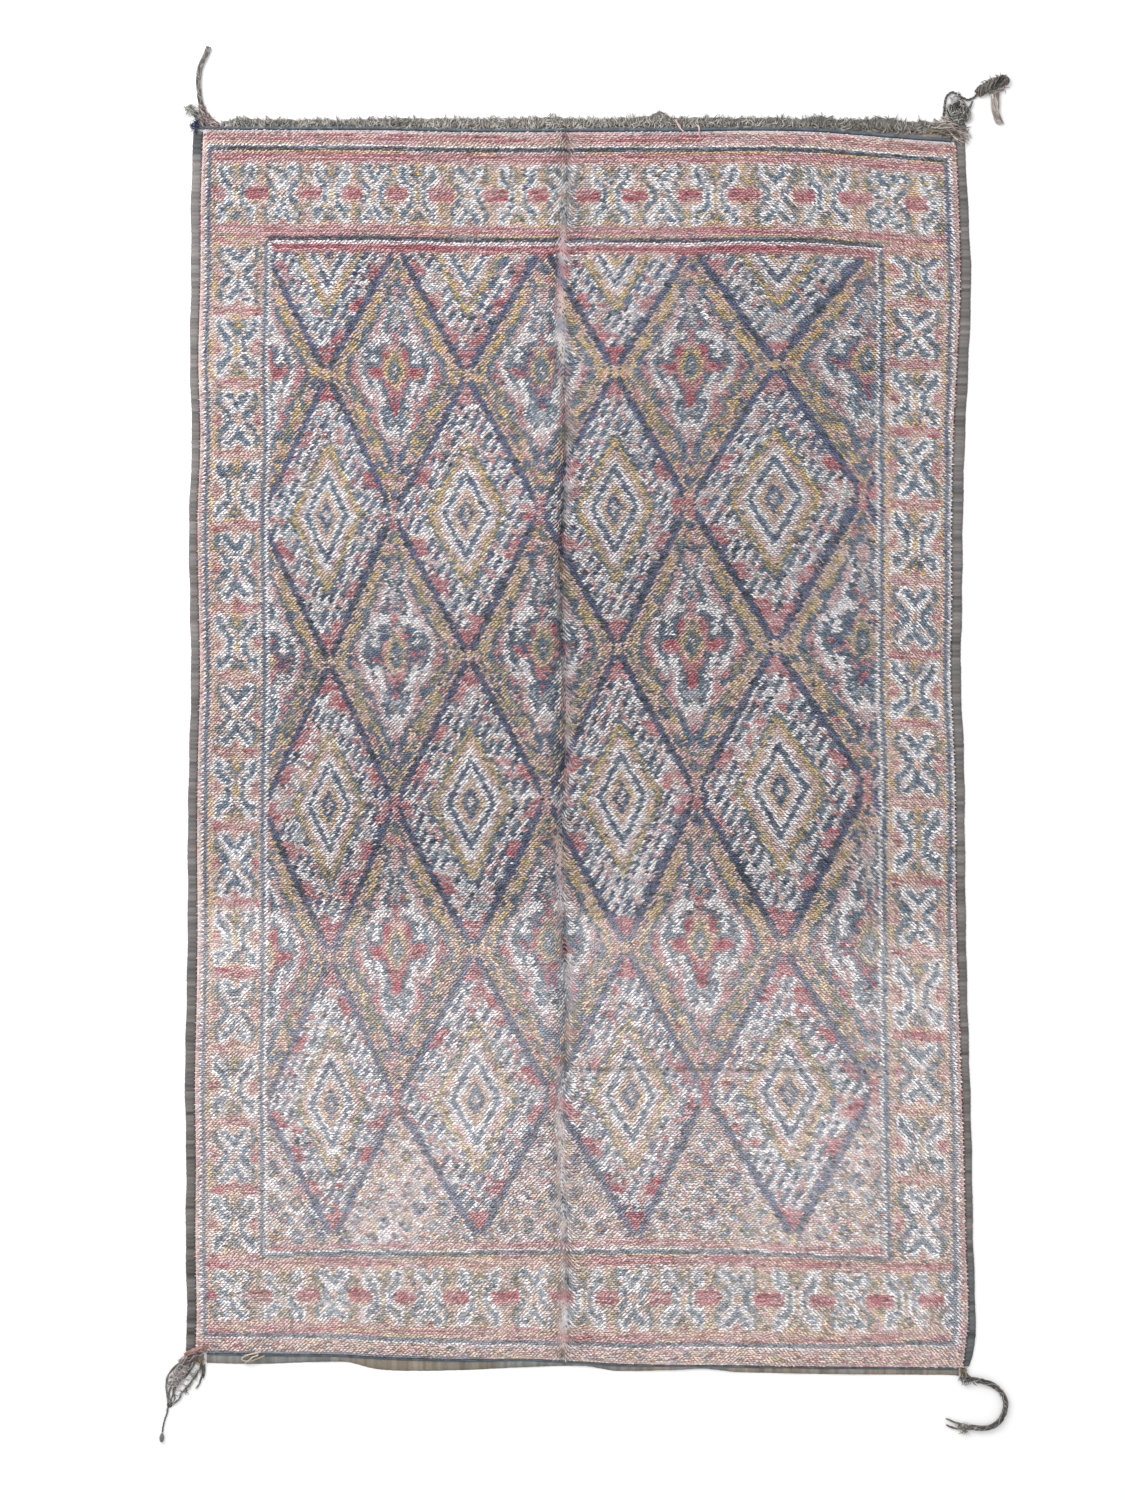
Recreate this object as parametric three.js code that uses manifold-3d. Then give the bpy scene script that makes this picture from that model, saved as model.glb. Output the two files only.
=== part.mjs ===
// A hand-knotted azilal rug lying flat on the floor, in millimetres with +Z up.
// The pile is one lumpy slab. Round it lie two wrapped selvedges, a flat-woven band at each end, a shaggy
// fringe on the top end, and at each corner a root with its plait, cord, loops or tassel.
// The origin is on the floor, in the middle of the box round everything but the free cords.
import * as THREE from 'three';
import Module from 'manifold-3d';
import { mergeVertices } from 'three/addons/utils/BufferGeometryUtils.js';

const wasm = await Module();
wasm.setup();

// Heights above the floor
const PILE_HEIGHT = 15;
const PILE_RIM_HEIGHT = 9;
const RIM_WIDTH = 14;
const SELVEDGE_HEIGHT = 6;
const BAND_HEIGHT = 4.5;
const FRINGE_HEIGHT = 8;

// Clearance between neighbouring pieces
const GAP = 0.8;

// The rug's outer edges, a row for each station down its length: the outer edge of each selvedge, and the
// width of that selvedge.
const SIDES = [
  { y: 1540, left: -926, right: 962, leftWidth: 24, rightWidth: 23 },
  { y: 1354, left: -932, right: 971, leftWidth: 24, rightWidth: 24 },
  { y: 1158, left: -932, right: 979, leftWidth: 23, rightWidth: 27 },
  { y: 962, left: -935, right: 973, leftWidth: 21, rightWidth: 29 },
  { y: 766, left: -930, right: 964, leftWidth: 21, rightWidth: 30 },
  { y: 570, left: -937, right: 959, leftWidth: 21, rightWidth: 29 },
  { y: 374, left: -935, right: 957, leftWidth: 22, rightWidth: 27 },
  { y: 178, left: -932, right: 954, leftWidth: 22, rightWidth: 26 },
  { y: -18, left: -937, right: 962, leftWidth: 22, rightWidth: 25 },
  { y: -214, left: -940, right: 964, leftWidth: 23, rightWidth: 24 },
  { y: -410, left: -940, right: 966, leftWidth: 24, rightWidth: 24 },
  { y: -606, left: -943, right: 970, leftWidth: 25, rightWidth: 23 },
  { y: -802, left: -947, right: 976, leftWidth: 25, rightWidth: 22 },
  { y: -998, left: -944, right: 981, leftWidth: 24, rightWidth: 21 },
  { y: -1194, left: -945, right: 984, leftWidth: 24, rightWidth: 19 },
  { y: -1390, left: -942, right: 990, leftWidth: 24, rightWidth: 19 },
  { y: -1465, left: -945, right: 986, leftWidth: 24, rightWidth: 23 },
  { y: -1530, left: -948, right: 969, leftWidth: 25, rightWidth: 15 },
];

// The rug's ends, a row for each station across: the pile's last row, and the outer edge of the woven band.
const TOP_END = [
  { x: -960, pile: 1524, band: 1537 },
  { x: -665, pile: 1523, band: 1536 },
  { x: -479, pile: 1523, band: 1536 },
  { x: -273, pile: 1518, band: 1532 },
  { x: -77, pile: 1518, band: 1532 },
  { x: 114, pile: 1519, band: 1534 },
  { x: 266, pile: 1519, band: 1534 },
  { x: 425, pile: 1522, band: 1537 },
  { x: 594, pile: 1519, band: 1535 },
  { x: 726, pile: 1509, band: 1527 },
  { x: 820, pile: 1501, band: 1521 },
  { x: 891, pile: 1496, band: 1521 },
  { x: 980, pile: 1491, band: 1517 },
];
const BOTTOM_END = [
  { x: -960, pile: -1469, band: -1494 },
  { x: -775, pile: -1471, band: -1498 },
  { x: -555, pile: -1474, band: -1493 },
  { x: -481, pile: -1479, band: -1510 },
  { x: -408, pile: -1482, band: -1515 },
  { x: -261, pile: -1485, band: -1513 },
  { x: -114, pile: -1484, band: -1506 },
  { x: 33, pile: -1491, band: -1503 },
  { x: 107, pile: -1496, band: -1515 },
  { x: 254, pile: -1499, band: -1513 },
  { x: 327, pile: -1499, band: -1510 },
  { x: 401, pile: -1500, band: -1518 },
  { x: 621, pile: -1503, band: -1523 },
  { x: 915, pile: -1505, band: -1525 },
  { x: 990, pile: -1508, band: -1529 },
];

// Where each selvedge begins and ends
const SELVEDGE_ENDS = {
  left: { top: 1521, bottom: -1466 },
  right: { top: 1506, bottom: -1503 },
};

// How far up the floor the tips of the top fringe reach
const FRINGE_TIPS = [
  { x: -861, tip: 1546 },
  { x: -843, tip: 1552 },
  { x: -815, tip: 1565 },
  { x: -775, tip: 1561 },
  { x: -702, tip: 1558 },
  { x: -555, tip: 1558 },
  { x: -481, tip: 1562 },
  { x: -408, tip: 1564 },
  { x: -260, tip: 1564 },
  { x: -114, tip: 1567 },
  { x: -40, tip: 1572 },
  { x: 33, tip: 1563 },
  { x: 150, tip: 1567 },
  { x: 190, tip: 1572 },
  { x: 217, tip: 1594 },
  { x: 242, tip: 1570 },
  { x: 327, tip: 1565 },
  { x: 474, tip: 1566 },
  { x: 560, tip: 1562 },
  { x: 609, tip: 1574 },
  { x: 650, tip: 1562 },
  { x: 700, tip: 1562 },
  { x: 755, tip: 1574 },
  { x: 790, tip: 1572 },
  { x: 825, tip: 1557 },
  { x: 857, tip: 1566 },
  { x: 905, tip: 1552 },
];

// Fold lines across the rug: each is a trough between two low ridges, over part of the width.
const CROSS_FOLDS = [
  { y: -778, from: -60, to: 960, depth: 3.5 },
  { y: 937, from: 0, to: 960, depth: 1.8 },
  { y: 202, from: -930, to: 960, depth: 1.5 },
];
const FOLD_HALF_WIDTH = 16;
const LONG_FOLD_DEPTH = 5;
const LONG_FOLD = { x: -21, sway: 8, wavelength: 680 };

const PLAIT = { lobes: 3, pitch: 42, sides: 10, step: 6.5 };
const TOP_RIGHT_CORD = { diameter: 7.5, sides: 8, steps: 26 };
const BOTTOM_LEFT_CORD = { diameter: 5, sides: 8, steps: 10 };

// Routes of the free cords on the floor, as [x, y], from the corner outwards
const TOP_LEFT_PLAIT = {
  diameter: 14,
  flare: 0.22,
  route: [
    [-905.5, 1579], [-908.2, 1594], [-911.6, 1615], [-913.4, 1642], [-911.7, 1667],
    [-906.5, 1683.5], [-900.5, 1697.5], [-893.5, 1711], [-888.4, 1727],
  ],
};
const BOTTOM_RIGHT_PLAIT = {
  diameter: 15,
  flare: 0,
  route: [
    [986, -1536], [998, -1538], [1012, -1541], [1028, -1547], [1043, -1556.5], [1055, -1571], [1061, -1585],
    [1062.5, -1600], [1058, -1620], [1046.5, -1638], [1029, -1650], [1007, -1654], [990, -1653.5], [975, -1651.5],
  ],
};
const TOP_RIGHT_ROUTE = [
  [911.5, 1555], [912, 1563], [914, 1587], [917.5, 1604], [925, 1613], [933, 1616.5], [944, 1612.5],
  [956.5, 1604], [968, 1598.5], [979, 1600], [988, 1606], [996, 1615],
];
const BOTTOM_LEFT_ROUTE = [
  [-989, -1607], [-990, -1617], [-994.5, -1629], [-998, -1641], [-1000.5, -1653], [-1002, -1665],
];

const COLOURS = {
  pile: 0xb9aeb0,
  selvedge: 0x7c7a78,
  band: 0x8c8882,
  fringe: 0x9a958c,
  cord: 0x7f7b74,
};

function wool(colour) {
  return new THREE.MeshStandardMaterial({ color: colour, roughness: 0.95, metalness: 0 });
}

// A value between 0 and 1 that looks random but is the same on every run
function chance(index, salt) {
  const value = Math.sin(index * 12.9898 + salt * 78.233) * 43758.5453;
  return value - Math.floor(value);
}

function mix(from, to, share) {
  return from + (to - from) * share;
}

function smooth(share) {
  const inside = Math.min(Math.max(share, 0), 1);
  return inside * inside * (3 - 2 * inside);
}

// Reads a column of a table at any place between its rows, on a smooth curve through them
function follow(table, key, column, at) {
  const sign = Math.sign(table[1][key] - table[0][key]);
  let row = 0;
  while (row < table.length - 2 && (at - table[row + 1][key]) * sign > 0) row += 1;
  const before = table[Math.max(row - 1, 0)][column];
  const start = table[row][column];
  const end = table[row + 1][column];
  const after = table[Math.min(row + 2, table.length - 1)][column];
  const share = (at - table[row][key]) / (table[row + 1][key] - table[row][key]);
  const first = (end - before) / 2;
  const last = (after - start) / 2;
  const square = share * share;
  const cube = square * share;
  return (2 * cube - 3 * square + 1) * start + (cube - 2 * square + share) * first
    + (3 * square - 2 * cube) * end + (cube - square) * last;
}

const leftInner = (y) => follow(SIDES, 'y', 'left', y) + follow(SIDES, 'y', 'leftWidth', y);
const rightInner = (y) => follow(SIDES, 'y', 'right', y) - follow(SIDES, 'y', 'rightWidth', y);
const longFold = (y) => LONG_FOLD.x + LONG_FOLD.sway * Math.sin((2 * Math.PI * y) / LONG_FOLD.wavelength + 0.9);

function geometryOf(points, triangles) {
  const geometry = new THREE.BufferGeometry();
  geometry.setAttribute('position', new THREE.Float32BufferAttribute(points.flat(), 3));
  geometry.setIndex(triangles.flat());
  geometry.computeVertexNormals();
  return geometry;
}

// A closed body over a grid of columns and rows. at(i, j) gives a top point. The underside lies on the
// floor: it has the same grid, or on a broad body one fan from the middle.
function lyingSheet(columns, rows, at, fan = false) {
  const points = [];
  const triangles = [];
  for (let j = 0; j < rows; j += 1) {
    for (let i = 0; i < columns; i += 1) points.push(at(i, j));
  }
  const top = (i, j) => j * columns + i;
  const under = points.length;
  points.push(...points.map(([x, y]) => [x, y, 0]));
  for (let j = 0; j < rows - 1; j += 1) {
    for (let i = 0; i < columns - 1; i += 1) {
      const square = [top(i, j), top(i, j + 1), top(i + 1, j + 1), top(i + 1, j)];
      triangles.push([square[0], square[1], square[2]], [square[0], square[2], square[3]]);
      if (!fan) {
        const [a, b, c, d] = square.map((index) => index + under);
        triangles.push([a, c, b], [a, d, c]);
      }
    }
  }
  const rim = [];
  for (let j = 0; j < rows - 1; j += 1) rim.push(top(0, j));
  for (let i = 0; i < columns - 1; i += 1) rim.push(top(i, rows - 1));
  for (let j = rows - 1; j > 0; j -= 1) rim.push(top(columns - 1, j));
  for (let i = columns - 1; i > 0; i -= 1) rim.push(top(i, 0));
  const middle = points.length;
  if (fan) points.push([0, 0, 0]);
  rim.forEach((here, index) => {
    const next = rim[(index + 1) % rim.length];
    triangles.push([here, here + under, next + under], [here, next + under, next]);
    if (fan) triangles.push([here + under, middle, next + under]);
  });
  return compact(points, triangles);
}

// Drops the points that no triangle uses
function compact(points, triangles) {
  const renamed = new Map();
  const kept = [];
  const indices = triangles.map((triangle) => triangle.map((index) => {
    if (!renamed.has(index)) {
      renamed.set(index, kept.length);
      kept.push(points[index]);
    }
    return renamed.get(index);
  }));
  return geometryOf(kept, indices);
}

// A body carried along a route on the floor. section(share) lists its corners as [side, up] in turn,
// anticlockwise as seen looking back along the route. The ends are closed by a fan.
function carried(route, steps, section) {
  const curve = new THREE.CatmullRomCurve3(route.map(([x, y, z = 0]) => new THREE.Vector3(x, y, z)));
  const points = [];
  const triangles = [];
  const spots = curve.getSpacedPoints(steps);
  const count = section(0).length;
  spots.forEach((spot, step) => {
    const along = curve.getTangentAt(step / steps);
    const flat = Math.hypot(along.x, along.y);
    const side = [along.y / flat, -along.x / flat];
    section(step / steps).forEach(([across, up]) => {
      points.push([spot.x + side[0] * across, spot.y + side[1] * across, spot.z + up]);
    });
  });
  for (let step = 0; step < steps; step += 1) {
    for (let corner = 0; corner < count; corner += 1) {
      const a = step * count + corner;
      const b = step * count + ((corner + 1) % count);
      triangles.push([a, b + count, b], [a, a + count, b + count]);
    }
  }
  const last = steps * count;
  for (let corner = 1; corner < count - 1; corner += 1) {
    triangles.push([0, corner, corner + 1], [last, last + corner + 1, last + corner]);
  }
  return geometryOf(points, triangles);
}

// A strand or lock that rests level on the floor: three-sided, wide and tall at its root, thin at its tip
function strand(route, width, height, steps = 3, tip = 0.35) {
  return carried(route, steps, (share) => {
    const size = mix(1, tip, share * share);
    const half = (width / 2) * size;
    return [[-half, 0], [half, 0], [0, height * size]];
  });
}

// A round cord lying on the floor
function cord(route, { diameter, sides, steps }) {
  const radius = diameter / 2;
  const section = new THREE.Shape();
  for (let corner = 0; corner < sides; corner += 1) {
    const angle = (2 * Math.PI * corner) / sides;
    const place = [radius * Math.cos(angle), radius * Math.sin(angle)];
    if (corner === 0) section.moveTo(...place);
    else section.lineTo(...place);
  }
  const extrudePath = new THREE.CatmullRomCurve3(route.map(([x, y]) => new THREE.Vector3(x, y, radius)));
  return new THREE.ExtrudeGeometry(section, { steps, extrudePath });
}

// A plait lying on the floor: a round section with three lobes that turn along it, wider at a frayed tip
function plait({ diameter, flare, route }) {
  const { lobes, pitch, sides, step } = PLAIT;
  const radius = diameter / 2;
  const curve = new THREE.CatmullRomCurve3(route.map(([x, y]) => new THREE.Vector3(x, y, 0)));
  const length = curve.getLength();
  return carried(route, Math.round(length / step), (share) => {
    const turned = (2 * Math.PI * share * length) / pitch;
    const wide = 1 + flare * smooth((share - 0.8) / 0.15);
    return Array.from({ length: sides }, (_, corner) => {
      const angle = (2 * Math.PI * corner) / sides;
      const lobed = radius * (0.89 + 0.11 * Math.cos(lobes * (angle - turned)));
      return [lobed * wide * Math.cos(angle), radius + lobed * Math.sin(angle)];
    });
  });
}

// A matted mound of wool on the floor: an oval dome with an uneven rim
function mound({ x, y, across, along, turn = 0, height, salt = 0 }, sectors = 16) {
  const rings = [
    { out: 1, up: 0.35 },
    { out: 0.86, up: 0.72 },
    { out: 0.5, up: 0.97 },
  ];
  const points = [];
  const triangles = [];
  const place = (sector, out) => {
    const angle = (2 * Math.PI * sector) / sectors;
    const uneven = out * (0.9 + 0.1 * chance(sector, salt));
    const right = across * uneven * Math.cos(angle);
    const up = along * uneven * Math.sin(angle);
    return [x + right * Math.cos(turn) - up * Math.sin(turn), y + right * Math.sin(turn) + up * Math.cos(turn)];
  };
  for (let sector = 0; sector < sectors; sector += 1) {
    points.push([...place(sector, 1), 0]);
    rings.forEach(({ out, up }) => points.push([...place(sector, out), height * up]));
  }
  const levels = rings.length + 1;
  const bottom = points.length;
  points.push([x, y, 0], [x, y, height]);
  for (let sector = 0; sector < sectors; sector += 1) {
    const here = sector * levels;
    const next = ((sector + 1) % sectors) * levels;
    for (let level = 0; level < levels - 1; level += 1) {
      triangles.push([here + level, next + level, next + level + 1]);
      triangles.push([here + level, next + level + 1, here + level + 1]);
    }
    triangles.push([here + levels - 1, next + levels - 1, bottom + 1], [next, here, bottom]);
  }
  return geometryOf(points, triangles);
}

function solidOf(geometry) {
  const bare = geometry.clone();
  bare.deleteAttribute('normal');
  if (bare.getAttribute('uv')) bare.deleteAttribute('uv');
  const merged = mergeVertices(bare, 1e-4);
  return new wasm.Manifold(new wasm.Mesh({
    numProp: 3,
    vertProperties: new Float32Array(merged.getAttribute('position').array),
    triVerts: new Uint32Array(merged.getIndex().array),
  }));
}

// One body of several that overlap
function fused(geometries) {
  const whole = geometries.map(solidOf).reduce((sum, solid) => sum.add(solid));
  const { vertProperties, triVerts } = whole.getMesh();
  const geometry = new THREE.BufferGeometry();
  geometry.setAttribute('position', new THREE.Float32BufferAttribute(vertProperties, 3));
  geometry.setIndex(Array.from(triVerts));
  geometry.computeVertexNormals();
  return geometry;
}

// Shares of a stretch: close together at both ends or at one, even between
function stations(even, atStart, atEnd) {
  const found = [0, ...atStart];
  for (let index = 1; index < even; index += 1) found.push(index / even);
  return [...found, ...atEnd.map((share) => 1 - share).reverse(), 1].sort((a, b) => a - b);
}

// Depth of a fold at a distance from its line: a trough with a low ridge on either side
function trough(distance, depth) {
  const near = distance / FOLD_HALF_WIDTH;
  return depth * Math.exp(-near * near) - depth * 0.45 * Math.exp(-((Math.abs(near) - 2) ** 2));
}

function pileTop(x, y, edge) {
  const lumps = 0.8 * Math.sin(x / 170 + 1) * Math.sin(y / 230) + 0.5 * Math.sin(x / 75 - y / 110);
  let height = mix(PILE_RIM_HEIGHT, PILE_HEIGHT + lumps, smooth(edge / RIM_WIDTH));
  height -= trough(x - longFold(y), LONG_FOLD_DEPTH) * smooth(edge / (3 * RIM_WIDTH));
  CROSS_FOLDS.forEach(({ y: line, from, to, depth }) => {
    const reach = smooth((x - from) / 120) * smooth((to - x) / 120);
    height -= trough(y - line, depth) * reach;
  });
  return height;
}

const FOLD_ROWS = CROSS_FOLDS.flatMap(({ y }) => [-30, -14, 0, 14, 30].map((offset) => (1519 - (y + offset)) / 3010));
const ROWS = stations(30, [RIM_WIDTH / 3010], [RIM_WIDTH / 3010])
  .filter((share) => FOLD_ROWS.every((fold) => Math.abs(share - fold) > 0.003))
  .concat(FOLD_ROWS)
  .sort((a, b) => a - b);

const HALF_COLUMNS = stations(11, [0.015], [0.018, 0.036, 0.055]);
const COLUMNS = [
  ...HALF_COLUMNS.map((share) => [0, share]),
  ...HALF_COLUMNS.slice(0, -1).reverse().map((share) => [1, 1 - share]),
];

// Where a row and a column of the pile meet, and how far that is from the pile's edge
function pilePlace(column, row) {
  const [side, share] = column;
  const between = (y) => {
    const fold = longFold(y);
    return side === 0 ? mix(leftInner(y) + GAP, fold, share) : mix(fold, rightInner(y) - GAP, share);
  };
  const across = between(mix(1519, -1491, row));
  const upper = follow(TOP_END, 'x', 'pile', across);
  const lower = follow(BOTTOM_END, 'x', 'pile', across);
  const y = mix(upper, lower, row);
  const x = between(y);
  return { x, y, edge: Math.min(x - leftInner(y) - GAP, rightInner(y) - GAP - x, upper - y, y - lower) };
}

function pileBody() {
  return lyingSheet(COLUMNS.length, ROWS.length, (i, j) => {
    const { x, y, edge } = pilePlace(COLUMNS[i], ROWS[j]);
    return [x, y, pileTop(x, y, edge)];
  }, true);
}

// The pile's last row at one end, read at any place across on straight lines between its corners
function pileEnd(row, x) {
  const corners = COLUMNS.map((column) => pilePlace(column, row));
  let index = 0;
  while (index < corners.length - 2 && corners[index + 1].x < x) index += 1;
  const [start, end] = [corners[index], corners[index + 1]];
  return mix(start.y, end.y, (x - start.x) / (end.x - start.x));
}

// A wrapped selvedge: a low rounded strip beside the pile, from one end band to the other
function selvedge(side) {
  const profile = [
    { out: 0, up: 0.6 },
    { out: 0.3, up: 1 },
    { out: 0.75, up: 0.95 },
    { out: 1, up: 0.55 },
  ];
  const inner = side === 'left' ? leftInner : rightInner;
  return lyingSheet(profile.length, ROWS.length, (i, j) => {
    const { out, up } = side === 'left' ? profile[i] : profile[profile.length - 1 - i];
    const y = mix(SELVEDGE_ENDS[side].top, SELVEDGE_ENDS[side].bottom, ROWS[j]);
    const outer = follow(SIDES, 'y', side, y) + 0.8 * Math.sin(y / 23);
    const x = side === 'left' ? mix(outer, inner(y), out) : mix(inner(y), outer, 1 - out);
    return [x, y, SELVEDGE_HEIGHT * up];
  });
}

// A flat-woven band along an end, in low waves where it isn't pressed flat
function endBand(table, from, to, wave) {
  const count = 44;
  const isTop = table === TOP_END;
  const across = isTop ? [1, 0.5, 0] : [0, 0.5, 1];
  return lyingSheet(count, across.length, (i, j) => {
    const x = mix(from, to, i / (count - 1));
    const inner = pileEnd(isTop ? 0 : 1, x) + (isTop ? GAP : -GAP);
    const outer = follow(table, 'x', 'band', x);
    const lift = wave * (0.5 + 0.5 * Math.sin(x / 37 + 2 * Math.sin(x / 90)));
    return [x, mix(inner, outer, across[j]), BAND_HEIGHT + lift * across[j] * 0.8 + (j === 1 ? 0.8 : 0)];
  });
}

// The brushed-out warp ends on the top end: locks that stand apart, fused at their roots into a narrow strip
function topFringe() {
  const from = -858;
  const to = 900;
  const count = 118;
  const stripWidth = 5;
  const root = (x) => follow(TOP_END, 'x', 'band', x) + GAP;
  const strip = lyingSheet(60, 2, (i, j) => {
    const x = mix(from, to, i / 59);
    return [x, root(x) + stripWidth * (1 - j), 4];
  });
  const locks = Array.from({ length: count }, (_, index) => {
    const x = mix(from + 6, to - 6, index / (count - 1));
    const y = root(x) + 1;
    const length = follow(FRINGE_TIPS, 'x', 'tip', x) - y + 5 * (chance(index, 1) - 0.7);
    const lean = 3.2 * (chance(index, 2) - 0.5);
    const route = [[x, y], [x + lean * 0.4, y + length * 0.5], [x + lean, y + length]];
    return strand(route, 12.5, FRINGE_HEIGHT * (0.8 + 0.4 * chance(index, 3)), 2, 0.55);
  });
  return fused([strip, ...locks]);
}

// Top left: the woven root that the plait leaves, with a short wrapped stub and a pale tuft beside it
function topLeftRoot() {
  return fused([
    mound({ x: -887, y: 1546, across: 24, along: 15, turn: -0.62, height: 12, salt: 1 }),
    mound({ x: -901, y: 1561, across: 10, along: 14, turn: 0.2, height: 13, salt: 12 }),
    mound({ x: -910, y: 1541, across: 11, along: 13, turn: 0.35, height: 10, salt: 2 }),
    strand([[-908, 1545], [-917, 1555], [-930, 1571], [-937, 1590]], 17, 12, 6, 0.75),
    strand([[-908, 1557], [-916, 1568], [-920, 1585]], 12, 9, 3, 0.6),
  ]);
}

// Top right: a matted clump of curly ends, short of the cord that runs round it
function topRightTuft() {
  const curls = [
    { x: 928, y: 1560, bend: -6, reach: 38, turn: 1.7 },
    { x: 936, y: 1568, bend: 8, reach: 36, turn: 1.5 },
    { x: 944, y: 1570, bend: -8, reach: 30, turn: 1.35 },
    { x: 955, y: 1568, bend: 8, reach: 24, turn: 1.2 },
    { x: 960, y: 1560, bend: -7, reach: 22, turn: 0.5 },
    { x: 962, y: 1548, bend: -6, reach: 19, turn: -0.05 },
    { x: 958, y: 1536, bend: 6, reach: 22, turn: -0.35 },
  ];
  return fused([
    mound({ x: 950, y: 1555, across: 32, along: 28, height: 15, salt: 3 }),
    mound({ x: 947, y: 1529, across: 22, along: 19, turn: -0.4, height: 12, salt: 4 }),
    strand([[962, 1552], [972, 1571], [977, 1584], [982, 1594]], 8, 8, 4, 0.8),
    ...curls.map(({ x, y, bend, reach, turn }) => {
      const ahead = [Math.cos(turn), Math.sin(turn)];
      const route = [0, 0.5, 1].map((share) => {
        const off = bend * Math.sin(Math.PI * share);
        return [x + ahead[0] * reach * share - ahead[1] * off, y + ahead[1] * reach * share + ahead[0] * off];
      });
      return strand(route, 6, 8, 3, 0.6);
    }),
  ]);
}

// Top right: the knot at the end of the cord, with the tassel that hangs from it
function topRightKnot() {
  const ends = [-2, -1, 0, 1, 2];
  return fused([
    mound({ x: 1017, y: 1629, across: 20, along: 11, turn: 0.62, height: 14, salt: 13 }),
    mound({ x: 1042, y: 1641, across: 22, along: 15, turn: 0.5, height: 20, salt: 5 }),
    mound({ x: 1061, y: 1645, across: 17, along: 15, turn: 0.2, height: 22, salt: 6 }),
    mound({ x: 1042, y: 1623, across: 14, along: 11, height: 15, salt: 7 }),
    ...ends.map((end) => {
      const route = [
        [1042 + 4.9 * end, 1622], [1038 + 4.9 * end, 1588], [1042.5 + 4.4 * end, 1556], [1048 + 4.8 * end, 1538 + Math.abs(end)],
      ];
      return strand(route, 4.6, 8, 5, 0.85);
    }),
  ]);
}

// Bottom left: the root and an open net of looped ends that draw together to a point
function bottomLeftLoops() {
  const threads = [
    [[-925, -1484], [-950, -1492], [-974, -1507], [-989, -1528], [-991, -1560], [-988, -1588], [-988, -1601]],
    [[-905, -1494], [-914, -1518], [-938, -1550], [-954, -1568], [-960, -1584], [-977, -1597]],
    [[-912, -1490], [-926, -1518], [-948, -1546], [-966, -1552], [-984, -1540]],
    [[-926, -1486], [-941, -1510], [-952, -1532], [-976, -1560], [-970, -1582], [-982, -1598]],
    [[-940, -1490], [-958, -1502], [-958, -1524], [-974, -1536], [-987, -1548]],
  ];
  const tails = [
    [[-906, -1500], [-903, -1520], [-910, -1542], [-919, -1559]],
    [[-899, -1500], [-898, -1514], [-902, -1532]],
  ];
  return fused([
    mound({ x: -931, y: -1484, across: 22, along: 12, turn: 0.3, height: 10, salt: 8 }),
    mound({ x: -905, y: -1492, across: 9, along: 14, turn: -0.2, height: 11, salt: 14 }),
    mound({ x: -937, y: -1479, across: 15, along: 9, turn: 0.3, height: 7, salt: 16 }, 12),
    mound({ x: -984, y: -1598, across: 9, along: 8, height: 7, salt: 9 }, 10),
    ...threads.map((route) => strand(route, 6, 7, 10, 0.85)),
    ...tails.map((route) => strand(route, 5, 6, 3, 0.5)),
  ]);
}

// Bottom left: the small hard knob on the end of the thin cord
function bottomLeftKnob() {
  const profile = [[0, 0], [2.6, 1], [4.6, 6], [5.8, 12], [5, 18], [3, 22], [0, 23.5]];
  const knob = new THREE.LatheGeometry(profile.map(([out, along]) => new THREE.Vector2(out, along)), 12);
  knob.rotateX(Math.PI);
  knob.rotateZ(-0.08);
  knob.translate(-1002.2, -1666.2, 5.8);
  return knob;
}

// Bottom right: the wrapped root that the plait leaves
function bottomRightRoot() {
  return fused([
    mound({ x: 961, y: -1515, across: 8, along: 10, height: 9, salt: 10 }, 12),
    mound({ x: 967, y: -1533, across: 15.5, along: 11.5, turn: -0.1, height: 13, salt: 15 }),
  ]);
}

// Bottom right: the whipping at the end of the plait and its two split ends
function bottomRightEnds() {
  return fused([
    mound({ x: 961, y: -1651, across: 11, along: 10, height: 13, salt: 11 }),
    strand([[958, -1646], [943, -1642], [930, -1637], [917.5, -1631]], 7, 6, 5, 0.6),
    strand([[957, -1656], [942, -1656], [929, -1652], [917.5, -1647]], 6, 5, 5, 0.6),
  ]);
}

const PIECES = [
  { name: 'rug_pile', colour: 'pile', make: pileBody },
  { name: 'selvedge_left', colour: 'selvedge', make: () => selvedge('left') },
  { name: 'selvedge_right', colour: 'selvedge', make: () => selvedge('right') },
  { name: 'end_band_top', colour: 'band', make: () => endBand(TOP_END, -861, 923, 1) },
  { name: 'end_band_bottom', colour: 'band', make: () => endBand(BOTTOM_END, -893, 948, 3) },
  { name: 'fringe_top', colour: 'fringe', make: topFringe },
  { name: 'root_top_left', colour: 'cord', make: topLeftRoot },
  { name: 'plait_top_left', colour: 'cord', make: () => plait(TOP_LEFT_PLAIT) },
  { name: 'tuft_top_right', colour: 'fringe', make: topRightTuft },
  { name: 'cord_top_right', colour: 'cord', make: () => cord(TOP_RIGHT_ROUTE, TOP_RIGHT_CORD) },
  { name: 'tassel_top_right', colour: 'fringe', make: topRightKnot },
  { name: 'loops_bottom_left', colour: 'cord', make: bottomLeftLoops },
  { name: 'cord_bottom_left', colour: 'cord', make: () => cord(BOTTOM_LEFT_ROUTE, BOTTOM_LEFT_CORD) },
  { name: 'knob_bottom_left', colour: 'cord', make: bottomLeftKnob },
  { name: 'root_bottom_right', colour: 'cord', make: bottomRightRoot },
  { name: 'plait_bottom_right', colour: 'cord', make: () => plait(BOTTOM_RIGHT_PLAIT) },
  { name: 'ends_bottom_right', colour: 'cord', make: bottomRightEnds },
];

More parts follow.
